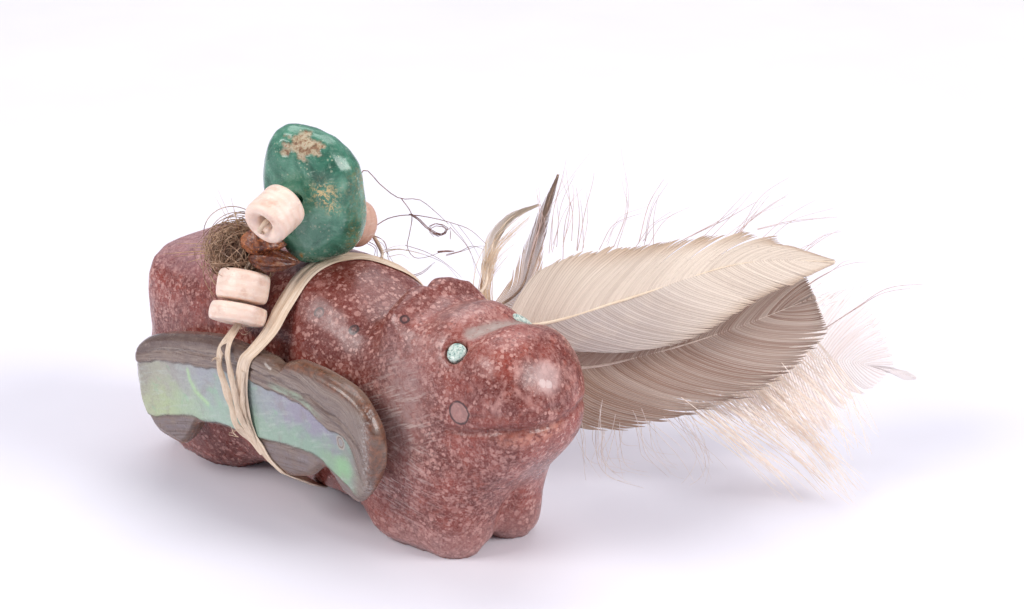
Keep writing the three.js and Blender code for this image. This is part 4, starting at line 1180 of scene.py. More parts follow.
@dataclass(frozen=True)
class FeatherVane:
    """A vane of fine barbs, each with a paler shaft and darker fringe."""

    name: str
    near: Chip
    far: Chip
    lower: Chip
    tip: Chip
    line: Chip
    contrast: float = 0.4
    ticks: float = 0.0
    edge: float = 0.0

    def material(self) -> bpy.types.Material:
        """Builds the finish."""
        p = Paint(self.name)
        across = p.node("ShaderNodeSeparateXYZ", {0: p.uv()}, 1)
        share, reach, side = p.mark("share"), p.mark("reach"), p.mark("side")
        p.body = p.mix(share.step(0.05, 0.7), self.near, self.far)
        p.lay(side * share.step(0.75, 0.2), self.lower)
        p.lay(reach.step(0.72, 1.0) * share.step(0.3, 0.8) * 0.7, self.tip)
        edge = reach.step(0.55, 1.0) * (1 - side) * share.step(0.12, 0.35) * share.step(0.85, 0.65)
        p.lay(edge * self.edge, self.tip)
        p.lay(p.noise(0.22, 4, 0.6).step(0.45, 0.7) * 0.25, self.far)
        p.lay(p.mark("tone") * (0.7 * self.contrast), self.line)
        groove = (across - 0.5).maths("ABSOLUTE").step(0.26, 0.44)
        p.lay(groove * self.contrast, self.line)
        if self.ticks:
            marks = p.noise(1.0, 4, 0.7, 0.3, p.stretched((0.9, 0.9, 3.2), (0, 24, 0))).step(0.62, 0.72)
            p.lay(marks * share.step(0.25, 0.7) * self.ticks, (108, 84, 74))
        relief = (across - 0.5).maths("ABSOLUTE").step(0.5, 0.0)
        return p.shade(0.62, Normal=p.bump(relief, 0.10, 0.5), Sheen_Weight=0.25, Sheen_Roughness=0.4)


@dataclass
class Strip:
    """The abalone strip on the right flank, with stepped layers and a nacre band."""

    middle: float = -16.3
    half: float = 1.8
    outer: float = 0.66
    arc: Path = ((-19.6, 0, 19.6), (-19.3, 0, 18.0), (-18.0, 0, 16.4), (-15.2, 0, 15.3))
    top: tuple = (
        (-33.6, 17.2), (-33.0, 19.2), (-31.3, 21.2), (-28, 22.9), (-20, 25.4), (-12, 26.9), (-5.2, 27.0),
        (-1.4, 26.9),
        (0.4, 26.3), (1.6, 26.4), (3.4, 27.7), (5.4, 28.2), (9, 28.2), (12.2, 27.9), (17.6, 26.8),
        (20.6, 25.2),
        (22.8, 22.8), (23.8, 19.8),
    )
    bottom: tuple = (
        (-33.6, 14.6), (-32.6, 11.4), (-31, 8.8), (-27.4, 6.4), (-22.6, 6.0), (-20.0, 8.4), (-18.4, 10.8),
        (-10, 12.3),
        (-4, 11), (2, 8.9), (7, 10.2), (10.8, 12.9), (12.2, 12.2), (14.5, 10.4), (17.7, 9.5), (20.8, 12),
        (22.8, 15.2),
        (23.8, 17.6),
    )
    band_top: tuple = (
        (-33, 17.0), (-30.9, 17.7), (-26.9, 19.0), (-22, 20.2), (-18.1, 20.8), (-11.5, 22.0), (-4.7, 22.3),
        (0.7, 22.2),
        (6, 22.1), (8.2, 21.4), (10.3, 20.5), (12.4, 19.9), (15, 19.7), (16.6, 18.8), (17.9, 17.4),
        (19.0, 15.0),
        (20.2, 12.8), (23.8, 9.0),
    )
    band_bottom: tuple = (
        (-33.6, 9.0), (-28.6, 9.1), (-25.1, 10.3), (-17.8, 12.1), (-16.9, 11.8), (-13, 12.7), (-9.3, 13.0),
        (-6.1, 12.9), (-3.3, 13.4), (0.3, 13.9), (4.3, 14.4), (7.4, 14.6), (10.1, 14.4), (11.8, 13.7),
        (14.3, 12.6),
        (16.4, 11.7), (18.1, 10.6), (23.8, 8.0),
    )
    shelf: tuple = (
        (-33.6, 19.0), (-12, 24.2), (-4.5, 24.5), (-1.4, 24.4), (0.8, 24.6), (1.7, 24.4), (5.7, 24.0),
        (8.7, 23.9),
        (12.1, 23.1), (15.5, 21.9), (18.4, 20.3), (20, 18.4), (21.4, 15), (23.8, 11),
    )
    crest: tuple = (
        (-33.6, 17.0), (-26.7, 21.1), (-21.8, 22.9), (-17, 24.2), (-12.3, 25.1), (-3.6, 25.7), (0, 25.6),
        (3.6, 26.2),
        (8, 26.9), (12.2, 26.3), (15.6, 25.7), (18.5, 24.9), (20.6, 23.4), (21.4, 19), (21.7, 15),
        (22.2, 11), (23.8, 9),
    )

    def lines(self, x: np.ndarray) -> list[np.ndarray]:
        """Heights of the strip's top and bottom, its band's, its shelf and crest, and their waver."""
        drawn = (self.top, self.bottom, self.band_top, self.band_bottom, self.shelf, self.crest)
        return [between(x, line) for line in drawn] + [0.12 * np.sin(x * 0.9) + 0.08 * np.sin(x * 2.3 + 1.0)]

    def relief(self, x: np.ndarray, z: np.ndarray) -> np.ndarray:
        """How far the outer face stands back at a place, in millimetres."""
        _, _, upper, lower, shelf, crest, wave = self.lines(x)
        share = np.clip((z - lower) / np.maximum(upper - lower, 0.5), 0, 1)
        back = 0.62 - 0.25 * (2 * share - 1) ** 2
        back -= 0.24 * eased(z - upper - wave, -0.12, 0.18)
        back += 0.20 * eased(z - shelf - wave, -0.9, -0.05) - 0.34 * eased(z - shelf - wave, -0.05, 0.22)
        back -= 0.20 * eased(z - crest, -0.3, 0.6)
        back += 0.26 * eased(lower - z + wave, -0.1, 0.15) - 0.10 * eased(lower - z, 0.9, 1.3)
        back += 0.12 * eased(lower - z, 2.0, 2.3)
        return np.clip(back, 0, 1.0)

    def section(self, along: np.ndarray, round_: np.ndarray) -> np.ndarray:
        """One closed section from the lower edge up the outer face and down the inner face."""
        rear, front = self.top[0][0], self.top[-1][0]
        ease = 0.5 - 0.5 * np.cos(along * math.pi)
        x = rear + (front - rear) * (0.55 * along + 0.45 * ease)
        drawn = 0.8 * eased(x, 14.0, front) - 0.7 * eased(-x, 26.0, -rear)
        high, low = self.lines(x)[:2]
        outer = round_ <= self.outer
        share = np.where(outer, round_ / self.outer, (1 - round_) / (1 - self.outer))
        share = np.clip(0.5 - 0.125 * np.cos(share * math.pi) - 0.375 * (1 - 2 * share), 0, 1)
        end = np.clip(np.minimum(x - rear, front - x) / 1.8, 0, 1)
        end = np.sqrt(np.clip(1 - (1 - end) ** 2, 0.02, 1))
        edge = np.clip(np.minimum(share, 1 - share) * (high - low) / 1.3, 0, 1)
        body = self.half * np.sqrt(np.clip(1 - (1 - edge) ** 2, 0, 1)) * end
        z = low + share * (high - low)
        face = self.middle - body + self.relief(x, z) * eased(body, 0.5, 1.6)
        inner = self.middle + body * (1 - 0.55 * eased(x, 15.0, 22.5))
        y = np.where(outer, np.minimum(face, self.middle + 0.2), inner)
        return np.stack((x - drawn, y, z), axis=1)

    def build(self) -> bpy.types.Object:
        """Lofts the strip section by section and marks its layers."""
        piece = Bench.drape("abalone_layers", 260, 120, self.section, closed=True)
        points = Bench.points(piece)
        x, y, z = points.T
        high, low, upper, lower, shelf, crest, wave = self.lines(x)
        outer = eased(self.middle - y, -0.1, 0.6)
        nacre = eased(z - lower, -0.1, 0.15) * eased(upper + wave - z, -0.1, 0.15) * outer
        ahead = (x < -6) * 9
        seams = np.min(
            (
                np.abs(z - upper - wave), np.abs(z - shelf - wave) + ahead, np.abs(lower - z),
                np.abs(z - shelf + 1.1) + ahead,
            ),
            axis=0,
        )
        rim = eased(z - crest, -0.4, 1.0) * eased(x, -6, 6) + eased(x, 19.8, 21.4)
        lilac = 0.8 * eased(lower - z, 0.0, 0.8) * eased(z - low, 0.2, 1.4)
        lilac += 0.28 * eased(z - upper, 0.0, 0.8) * eased(crest - z, 0.0, 2.0)
        away, _ = from_path(points * np.array((1, 0, 1)), self.arc)
        marks = {
            "nacre": nacre * (1 - 0.85 * eased(x, 16.2, 18.6)),
            "height": (z - lower) / np.maximum(upper - lower, 0.5),
            "layers": np.where(z > upper, (z - upper) * 0.55, (lower - z) * 0.8 + 5),
            "seam": faded(seams, 0.17) * outer,
            "copper": np.clip(np.maximum(rim, 0.9 * faded(z - low, 0.8)), 0, 1),
            "lilac": lilac * outer,
            "frost": faded(x - 20.4, 0.8) * outer,
            "browned": eased(z - crest, -0.6, 0.8) * eased(-x, -8, 8),
            "arc": faded(away, 0.35) * outer,
            "inside": eased(y - self.middle, 0.2, 1.2),
        }
        for name, values in marks.items():
            Bench.mark(piece, name, values)
        Bench.finish(piece, AbaloneShell().material(), "abalone_shell", "abalone_strip")
        return piece


@dataclass
class Tie:
    """The sinew: a flat band taut round bear, shell and quills, and loose strands through the beads."""

    axis: tuple[float, float] = (-1.5, 18.0)
    route: tuple = (
        (-60, 3.4), (-40, 3.0), (-22, 1.4), (-8, -2.8), (4, -4.2), (20, -4.6), (34, -4.4), (48, -3.8),
        (60, -4.4),
        (70, -5.8), (84, -6.5), (96, -6.2), (104.8, -4.9), (108.6, -3.5), (114.5, -1.9), (118.2, -0.3),
        (123.6, 1.7),
        (132, 2.6), (146, 1.0), (165, -2.0), (180, -3.2), (205, -2.6), (230, 0.6), (255, 3.0), (300, 3.4),
    )
    widths: tuple = (
        (-60, 2.6), (-20, 3.0), (0, 3.3), (30, 3.4), (48, 3.0), (62, 2.6), (80, 2.8), (98, 3.2), (107, 2.7),
        (116, 2.2), (126, 2.2), (150, 2.3), (240, 2.5), (300, 2.6),
    )
    lift: float = 0.16
    thickness: float = 0.42
    rows: int = 241
    columns: int = 15
    afar: float = 60

    @staticmethod
    def outward(angle: np.ndarray) -> np.ndarray:
        """The way out of the bear's section at degrees from the top of its back."""
        along = np.radians(angle)
        return np.stack((np.zeros_like(along), -np.sin(along), np.cos(along)), axis=1)

    def section(self, angle: np.ndarray, offset: np.ndarray, trees: Sequence[BVHTree]) -> np.ndarray:
        """Pulls the lines of the band taut over what it goes round.

        Args:
            angle: Degrees from the top of the back over the right flank, one for each row.
            offset: Places across the band in millimetres, one row for each angle.
            trees: Surfaces that the band lies on.

        Returns:
            Points of shape rows, columns, 3.
        """
        radius = np.zeros_like(offset)
        outward = self.outward(angle)
        x = between(angle, self.route)[:, None] + offset
        for row, column in np.ndindex(offset.shape):
            start = np.array((x[row, column], *self.axis)) + outward[row] * self.afar
            for tree in trees:
                hit = tree.ray_cast(Vector(metres(start)), Vector(-outward[row]))
                if hit[0] is not None:
                    radius[row, column] = max(radius[row, column], self.afar - hit[3] / MM)
        radius = np.stack([self.taut(np.radians(angle), line) for line in radius.T], axis=1)
        points = np.zeros((*offset.shape, 3))
        points[..., 0] = x
        points[..., 1:] = np.array(self.axis) + radius[..., None] * outward[:, None, 1:]
        return points

    @staticmethod
    def taut(along: np.ndarray, radius: np.ndarray) -> np.ndarray:
        """The radius of a line drawn tight round a closed section."""

        def turn(first: np.ndarray, second: np.ndarray) -> float:
            """How far the second direction turns to the left of the first."""
            return first[0] * second[1] - first[1] * second[0]

        ways = np.stack((np.sin(along), np.cos(along)), axis=1)
        flat = ways * radius[:, None]
        count = len(flat) - 1
        start = int(np.argmax(flat[:-1, 1]))
        kept: list[int] = []
        for i in (*range(start, count), *range(start + 1)):
            while len(kept) > 1 and turn(flat[kept[-1]] - flat[kept[-2]], flat[i] - flat[kept[-2]]) >= 0:
                kept.pop()
            kept.append(i)
        taut = np.zeros(len(radius))
        for a, b in zip(kept[:-1], kept[1:]):
            side = flat[b] - flat[a]
            for i in np.arange(a, b + 1 + (count if b < a else 0)) % count:
                cross = turn(side, ways[i])
                reach = turn(side, flat[a]) / cross if abs(cross) > 1e-9 else radius[i]
                taut[i] = max(reach, radius[i])
        taut[-1] = taut[0]
        return taut

    def build(self, ground: Sequence[bpy.types.Object]) -> None:
        """Lays the band and threads the strands."""
        graph = bpy.context.evaluated_depsgraph_get()
        trees = [BVHTree.FromObject(piece, graph) for piece in ground]
        angle = np.linspace(-60, 300, self.rows)
        share = np.linspace(-0.5, 0.5, self.columns)[None, :]
        points = self.section(angle, between(angle, self.widths)[:, None] * share, trees)
        along, outward = np.radians(angle)[:, None], self.outward(angle)[:, None, :]
        drift = 0.16 * np.sin(along * 3) + 0.1 * np.sin(along * 7 + 1)
        furrow = np.abs(np.sin((share * 2.6 + drift) * math.pi))
        domed = np.sqrt(np.clip(1.02 - (2 * share) ** 4, 0, 1))
        rise = self.lift + self.thickness * (0.45 + 0.55 * furrow) * domed
        top = points + outward * rise[..., None]
        under = points + outward * (self.lift * 0.3)

        def lay(u: np.ndarray, v: np.ndarray) -> np.ndarray:
            """Top of the band and back along its under side."""
            row, over = nearest(u, self.rows), v <= 0.5
            column = nearest(np.where(over, v * 2, (1 - v) * 2), self.columns)
            return np.where(over[:, None], top[row, column], under[row, column])

        band = Bench.drape("sinew_band", self.rows - 1, 2 * (self.columns - 1), lay)
        Bench.weld(band, WELD_GAP)
        Bench.smooth(band, CREASE)
        Bench.mark(band, "shadow", eased(-Bench.points(band)[:, 2], -10.0, -3.0))
        strands = [self.ribbon(*strand) for strand in self.strands(top, angle)]
        whole = Bench.join([band, *strands], "sinew_strands")
        Bench.finish(whole, SinewFibre().material(), "sinew", "sinew_tie")

    def strands(self, top: np.ndarray, angle: np.ndarray) -> list[tuple[str, Path, float, float]]:
        """Routes of the loose strands, each with its width and thickness."""

        def middle(place: float, *off: float) -> np.ndarray:
            """A point off the middle of the band at an angle."""
            return top[int(np.argmin(np.abs(angle - place))), self.columns // 2] + np.array(off)

        low, lower = middle(106, -0.5, -0.2, 0), middle(113, 0, -0.1, 0)
        left = (
            lower, low, (-6.6, -19.2, 15.0), (-7.8, -19.1, 17.8), (-9.3, -19.0, 20.8), (-10.7, -18.7, 23.7),
            (-10.9, -17.9, 25.8), (-10.1, -16.6, 28.0), (-9.6, -15.6, 29.6),
        )
        mid = (
            lower + (0.2, 0, 0), low + (0.5, -0.1, 0.6), (-5.9, -19.2, 17.0), (-7.0, -19.1, 20.4),
            (-7.9, -19.0, 23.6), (-8.5, -18.8, 25.8), (-8.9, -17.8, 27.8), (-9.2, -15.8, 29.6),
        )
        crossed = (middle(70, 0.5, -0.15, 0), middle(92, 0.9, -0.3, 0), middle(103, 0.9, -0.3, 0), lower)
        threaded = (
            (-9.2, -15.8, 29.4), (-9.8, -14.6, 33.6), (-10.3, -13.4, 37.0), (-10.2, -12.0, 38.6),
            (-9.6, -10.2, 40.4), (-7.6, -10.4, 43.0), (-5.2, -13.4, 44.6), (-4.1, -15.4, 45.8),
            (-3.9, -14.6, 46.7), (-4.2, -11.6, 47.6), (-4.6, -7.8, 46.0), (-5.0, 0.0, 43.2),
            (-5.1, 4.4, 41.6), (-4.8, 7.2, 39.4), (-2.4, 7.2, 37.0), middle(-18, 0, 0, 0),
        )
        return [
            ("left", left, 1.2, 0.34), ("mid", mid, 1.0, 0.34), ("crossed", crossed, 0.8, 0.3),
            ("threaded", threaded, 0.75, 0.5),
        ]

    @staticmethod
    def ribbon(name: str, path: Path, width: float, flat: float) -> bpy.types.Object:
        """A flattened strand swept along a path.

        Args:
            name: Plain name of the strand.
            path: Points along it.
            width: Its width in millimetres.
            flat: Its thickness in millimetres.

        Returns:
            The strand.
        """
        line = smooth_path(path, 90)
        ahead = unit(np.gradient(line, axis=0))
        side = unit(np.cross(ahead, np.array((0.35, -0.9, 0.25))))

        def girth(share: np.ndarray, turn: np.ndarray) -> tuple[np.ndarray, np.ndarray]:
            """A furrowed, uneven oval."""
            swell = 1 + 0.14 * np.sin(share * 19 + width * 9) + 0.08 * np.sin(share * 43)
            furrow = 1 - 0.16 * np.abs(np.sin(turn * 2.5 + share * 6))
            return width / 2 * swell * furrow, flat / 2 * furrow

        piece = Bench.tube(f"sinew_{name}", line, (side, np.cross(side, ahead)), 14, girth)
        Bench.mark(piece, "shadow", 0.0)
        return piece


@dataclass
class Hairs:
    """Loose hairs drawn as fine curves and turned into one mesh."""

    name: str
    lines: list = field(default_factory=list)

    def add(self, points: np.ndarray, radius: float, taper: float) -> None:
        """Adds one hair through points, with its radius in millimetres and what its tip keeps of it."""
        share = np.linspace(0, 1, len(points))
        self.lines.append((points, radius * (1 - (1 - taper) * share**2)))

    def build(self) -> bpy.types.Object:
        """Sweeps every hair and converts them to one mesh."""
        curve = bpy.data.curves.new(self.name, "CURVE")
        curve.dimensions = "3D"
        curve.bevel_depth = MM
        curve.bevel_resolution = 0
        curve.use_fill_caps = True
        for points, radii in self.lines:
            spline = curve.splines.new("POLY")
            spline.points.add(len(points) - 1)
            flat = np.concatenate((metres(points), np.ones((len(points), 1))), axis=1)
            spline.points.foreach_set("co", flat.ravel())
            spline.points.foreach_set("radius", radii)
        piece = bpy.data.objects.new(self.name, curve)
        bpy.context.scene.collection.objects.link(piece)
        Bench.take(piece)
        bpy.ops.object.convert(target="MESH")
        Bench.smooth(bpy.context.object, CREASE)
        return bpy.context.object


@dataclass
class Tuft:
    """The coiled tuft of brown hair, with a dark core."""

    centre: Spot = (-13.7, -11.4, 38.7)
    viewer: Spot = (0.62, -0.68, 0.40)
    coils: int = 400
    seed: int = 7
    loose: tuple = (
        ((-22.0, -19.3, 38.4), 0.3), ((-21.0, -18.0, 37.9), 0.2), ((-22.8, -16.0, 39.0), 0.5),
        ((-17.4, -16.0, 36.5), 0.1), ((-20.0, -16.4, 36.8), 0.2), ((-21.6, -14.6, 38.2), 0.4),
    )
    upright: Path = ((-17.4, -12.0, 48.0), (-14.4, -12.0, 47.4), (-19.2, -11.0, 46.0), (-12.0, -13.6, 46.6))

    def lump(self, u: np.ndarray, v: np.ndarray) -> np.ndarray:
        """A lumpy ball."""
        tall, turn = u * math.pi, v * math.tau
        way = np.stack((np.sin(tall) * np.cos(turn), np.sin(tall) * np.sin(turn), np.cos(tall)), axis=1)
        bump = 1 + 0.16 * np.sin(way[:, 0] * 5 + 1) * np.sin(way[:, 1] * 4) + 0.1 * np.sin(way[:, 2] * 7)
        return np.array(self.centre) + way * np.array((2.7, 2.4, 2.7)) * bump[:, None]

    def coil(self) -> bpy.types.Object:
        """The hairs wound round the core."""
        rng = np.random.default_rng(self.seed)
        hairs = Hairs("tuft_hairs")
        for i in range(self.coils):
            centre = np.array(self.centre) + rng.normal(0, 1, 3) * np.array((1.15, 1.0, 1.1))
            normal = unit(np.array(self.viewer) + rng.normal(0, 0.55, 3))
            side = unit(np.cross(normal, (0, 0, 1)))
            radius, start = rng.uniform(1.2, 4.5), rng.uniform(0, math.tau)
            turn = np.linspace(start, start + rng.uniform(2.2, 5.8), 30)
            wide = radius * np.linspace(1, rng.uniform(0.8, 1.3), 30)
            line = centre + ring(turn, wide, wide, side, np.cross(normal, side))
            line += normal * (np.sin(turn * 0.7 + i) * 0.5)[:, None]
            hairs.add(line, rng.uniform(0.05, 0.085), 0.6)
        return hairs.build()

    def straws(self) -> bpy.types.Object:
        """The stiffer hairs that stick out of the tuft."""
        middle = np.array(self.centre)
        straws = Hairs("tuft_straws")
        bends = [(end, (0, 0, 0), (0, 0, lift), 0.075) for end, lift in self.loose]
        bends += [(end, (0.5, 0, 2), (0.6, 0, 0.4), 0.05) for end in self.upright]
        for end, root, bend, radius in bends:
            halfway = (middle + np.array(end)) / 2 + bend
            straws.add(smooth_path([middle + root, halfway, end], 14), radius, 0.3)
        return straws.build()

    def build(self) -> None:
        """Builds the core, the coil and the straws."""
        core = Bench.drape("tuft_core", 30, 40, self.lump, closed=True)
        coil, straws = self.coil(), self.straws()
        brown = Hair("tuft_core_brown", (66, 46, 36), (118, 88, 68), 0.7)
        Bench.finish(core, brown.material(), "hair", "hair_tuft")
        Bench.finish(coil, Hair("tuft_hair_brown", (114, 78, 58), (198, 164, 134), 0.42).material(), "hair")
        Bench.finish(straws, Hair("straw_hair", (150, 112, 72), (206, 170, 124), 0.45).material(), "hair")


@dataclass
class SeedHusk:
    """The pointed husk: a crumbly upper shell over a dark ribbed lobe."""

    centre: Spot = (-7.3, -10.4, 39.6)
    axis: Spot = (0.72, 0.69, -0.1)
    length: float = 7.4
    radius: float = 2.4

    def lobe(
        self, name: str, off: Spot, size: tuple[float, float], ribs: int, squash: float
    ) -> bpy.types.Object:
        """One ribbed, pointed lobe.

        Args:
            name: Name of the piece.
            off: How far its middle is from the husk's.
            size: Its length and radius, as shares of the husk's.
            ribs: How many ribs run along it.
            squash: Its height as a share of its width.

        Returns:
            The lobe.
        """
        length, radius = self.length * size[0], self.radius * size[1]
        centre, axis = np.array(self.centre) + off, unit(np.array(self.axis))
        side = unit(np.cross(axis, (0, 0, 1.0)))
        up = np.cross(side, axis)

        def shell(u: np.ndarray, v: np.ndarray) -> np.ndarray:
            """A section at a share of the way to the tip."""
            turn = v * math.tau
            girth = np.sin(u**0.75 * math.pi) ** 0.8
            rib = 1 + 0.10 * np.sin(turn * ribs + u * 3) + 0.06 * np.sin(turn * 3 + u * 9)
            reach = radius * girth * (rib + 0.04 * np.sin(u * 31 + turn * 5))
            return centre + axis * ((u - 0.5) * length)[:, None] + ring(turn, reach, reach * squash, side, up)

        return Bench.drape(name, 60, 56, shell, closed=True)

    def build(self) -> None:
        """Builds both lobes and joins them."""
        upper = self.lobe("husk_upper", (-0.9, -0.9, 2.1), (0.95, 1.0), 5, 0.78)
        lower = self.lobe("husk_lower", (0.5, -0.1, -0.5), (1.05, 1.05), 9, 0.66)
        Bench.mark(upper, "crumb", 1.0)
        Bench.mark(lower, "crumb", 0.25)
        whole = Bench.join([upper, lower], "husk_lobes")
        Bench.finish(whole, Husk().material(), "husk", "seed_husk")


@dataclass
class Feather:
    """One feather: a tapering shaft with two vanes of separate barbs."""

    name: str
    node: str
    slot: str
    path: Path
    start: float
    upper: tuple
    lower: tuple
    finish: FeatherVane
    shaft: tuple[Chip, Chip]
    pitch: float = 0.40
    lead: float = 0.30
    blunt: float = 0.6
    ragged: float = 0.015
    clump: float = 0.25
    cover: float = 1.7
    splits: tuple = ()
    plumes: tuple = ()
    curl: float = 0.6
    seed: int = 3
    facing: Spot = (0.64, -0.67, 0.37)
    stalk: float = 0.34

    def sides(self, ahead: np.ndarray) -> tuple[np.ndarray, np.ndarray, np.ndarray]:
        """The shaft's direction, its upward side and its face, from steps ahead."""
        ahead = unit(ahead)
        up = unit(np.cross(np.array(self.facing), ahead))
        return ahead, up, np.cross(ahead, up)

    def frame_at(self, share: np.ndarray) -> tuple[np.ndarray, np.ndarray, np.ndarray]:
        """Place, upward side and face of the shaft at shares of the vane's length."""
        line = smooth_path(self.path, 400)
        steps = steps_along(line)
        place = steps[-1] * (self.start + np.clip(share, 0, 1) * (1 - self.start))
        both = np.concatenate((line, np.gradient(line, axis=0)), axis=1)
        both = np.stack([np.interp(place, steps, part) for part in both.T], axis=1)
        _, up, face = self.sides(both[:, 3:])
        return both[:, :3], up, face

    def length(self) -> float:
        """Length of the vane in millimetres."""
        line = smooth_path(self.path, 400)
        return float(np.linalg.norm(np.diff(line, axis=0), axis=1).sum() * (1 - self.start))

    def barbs(self, side: int, count: int, steps: int) -> tuple[np.ndarray, np.ndarray, np.ndarray]:
        """Lays out the middle lines of one vane's barbs.

        Args:
            side: 1 for the upper vane, -1 for the lower.
            count: How many barbs.
            steps: Points along each.

        Returns:
            The points, their shares of the vane's length, and half a barb's width at each.
        """
        rng = np.random.default_rng(self.seed + (17 if side > 0 else 0))
        base = ((np.arange(count) + 0.5) / count)[:, None]
        reach = np.linspace(0, 1, steps)[None, :]
        groups = np.cumsum(rng.random(count) < 0.10)
        drift = rng.normal(0, 1, groups.max() + 1)[groups][:, None]
        long = 1 + rng.normal(0, self.ragged, count)[:, None] + self.ragged * drift
        for where, place, breadth, extra in self.plumes:
            if where == side:
                long += extra * faded(base - place, breadth)
        slant = np.minimum(1.0, 0.45 + base * 3)
        outline = np.clip(base + self.lead * slant * (1 - base) ** 0.6, 0, 1)
        width = between(outline, self.upper if side > 0 else self.lower) * (1 - (1 - reach) ** 1.35)
        ahead = self.lead * slant * (1 - base) ** self.blunt
        ahead = np.minimum(ahead, 1.0 - base) * reach**1.2

        def laid(lead: np.ndarray, wide: np.ndarray, lift: np.ndarray) -> np.ndarray:
            """Points of barbs that lead ahead, stand out and lift by so much."""
            share = base + lead
            spot, up, face = self.frame_at(share.ravel())
            wide, lift = wide.ravel(), lift.ravel()
            camber = -self.curl * (wide / 6.0) ** 2 + 0.10 * np.sin(share.ravel() * 21 + self.seed) + lift
            beyond = np.clip(share.ravel() - 1, 0, 1) * self.length()
            points = spot + up * (side * wide)[:, None] + face * camber[:, None]
            return (points + np.cross(up, face) * beyond[:, None]).reshape(count, steps, 3)

        even = laid(ahead, width, np.zeros_like(width))
        across, along = np.gradient(even, axis=0), unit(np.gradient(even, axis=1))
        across -= (across * along).sum(axis=2)[..., None] * along
        half = np.linalg.norm(across, axis=2) * 0.5 * self.cover
        half *= 1 - 0.8 * eased(reach, 0.90, 1.0)
        opened = 1 + 0.002 * drift
        for where, place, amount in self.splits:
            if where == side:
                opened += amount * np.exp(-np.clip(base - place, 0, 1) / 0.07) * (base > place)
        lift = self.clump * 0.3 * drift * reach**3
        points = laid(ahead * (1 + (opened - 1) * reach), width * (1 + (long - 1) * reach**3), lift)
        return points, base + ahead, np.clip(half, 0.02, self.pitch * 1.3)

    def vane(self, side: int) -> bpy.types.Object:
        """Models one barb, repeats it and lays the copies out from the shaft."""
        steps, count = 15, int(self.length() / self.pitch)
        piece = Bench.grid(f"{self.name}_vane_{'upper' if side > 0 else 'lower'}", steps - 1, 2)
        Bench.modify(
            piece, "ARRAY", count=count, use_relative_offset=False, use_constant_offset=True,
            constant_offset_displace=(0, 0, 1.0),
        )
        along, across, barb = Bench.read(piece.data.vertices, "co").T
        barb, step, across = np.round(barb).astype(int), nearest(along + 0.5, steps), across * 2
        centre, share, half = self.barbs(side, count, steps)
        face = self.frame_at(share.ravel())[2].reshape(count, steps, 3)
        sideways = unit(np.cross(face, np.gradient(centre, axis=1)))
        points = centre[barb, step] + sideways[barb, step] * (across * half[barb, step])[:, None]
        points += face[barb, step] * (0.05 * (1 - np.abs(across)) + 0.012 * (barb % 3))[:, None]
        Bench.place(piece, points)
        rng = np.random.default_rng(self.seed + 40)
        tone = rng.normal(0.4, 0.28, count)
        tone = np.clip(tone + 0.24 * rng.normal(0, 1, count)[np.cumsum(rng.random(count) < 0.12)], 0, 1)
        Bench.mark(piece, "share", share[barb, step])
        Bench.mark(piece, "reach", step / (steps - 1))
        Bench.mark(piece, "side", 0.0 if side > 0 else 1.0)
        Bench.mark(piece, "tone", tone[barb])
        return piece

    def build(self) -> None:
        """Builds the shaft and both vanes."""
        line = smooth_path(self.path, 120)
        _, up, face = self.sides(np.gradient(line, axis=0))

        def girth(share: np.ndarray, _: np.ndarray) -> tuple[np.ndarray, np.ndarray]:
            """Half the width and height of the tapering shaft."""
            wide = self.stalk * (1 - 0.86 * eased(share, 0.12, 1.0) ** 0.8)
            return wide, wide * 0.8

        shaft = Bench.tube(f"{self.name}_shaft", line, (up, face), 10, girth)
        vanes = Bench.join([self.vane(1), self.vane(-1)], f"{self.name}_barbs")
        Bench.smooth(vanes, CREASE)
        Bench.finish(vanes, self.finish.material(), self.slot, self.node)
        Bench.finish(shaft, Hair(f"{self.name}_shaft_horn", *self.shaft, 0.35).material(), self.slot)


@dataclass(frozen=True)
class Wisp:
    """A bundle of fine barbs that leave one place and spread out."""

    path: Path
    count: int = 1
    spread: tuple[float, float] = (0.0, 0.0)
    thickness: float = 0.05
    curl: float = 0.3


@dataclass
class Down:
    """Loose barbs and hairs that stand off the bundle."""

    name: str
    slot: str
    finish: Hair
    wisps: Sequence[Wisp]
    seed: int = 1

    def build(self) -> None:
        """Draws each bundle's strands and joins them in one mesh."""
        rng = np.random.default_rng(self.seed)
        hairs = Hairs(self.name)
        for wisp in self.wisps:
            knots = np.array(wisp.path)
            share = np.linspace(0, 1, len(knots))[:, None]
            for _ in range(wisp.count):
                root, tip = rng.normal(0, 1, 3), rng.normal(0, 1, 3)
                shift = root * wisp.spread[0] * (1 - share) + tip * wisp.spread[1] * share**1.3
                line = smooth_path(knots + shift, 22)
                line = line[: int(rng.uniform(15, 22.99))] if wisp.count > 1 else line
                turn = np.linspace(0, rng.uniform(3, 9), len(line))
                sway = rng.normal(0, 1, 3)
                grow = np.linspace(0, 1, len(line)) ** 1.5
                line += (np.sin(turn) * grow * wisp.curl)[:, None] * sway
                line[:, 2] = np.maximum(line[:, 2], 0.3)
                hairs.add(line, wisp.thickness * rng.uniform(0.7, 1.2), 0.4)
        Bench.finish(hairs.build(), self.finish.material(), self.slot)


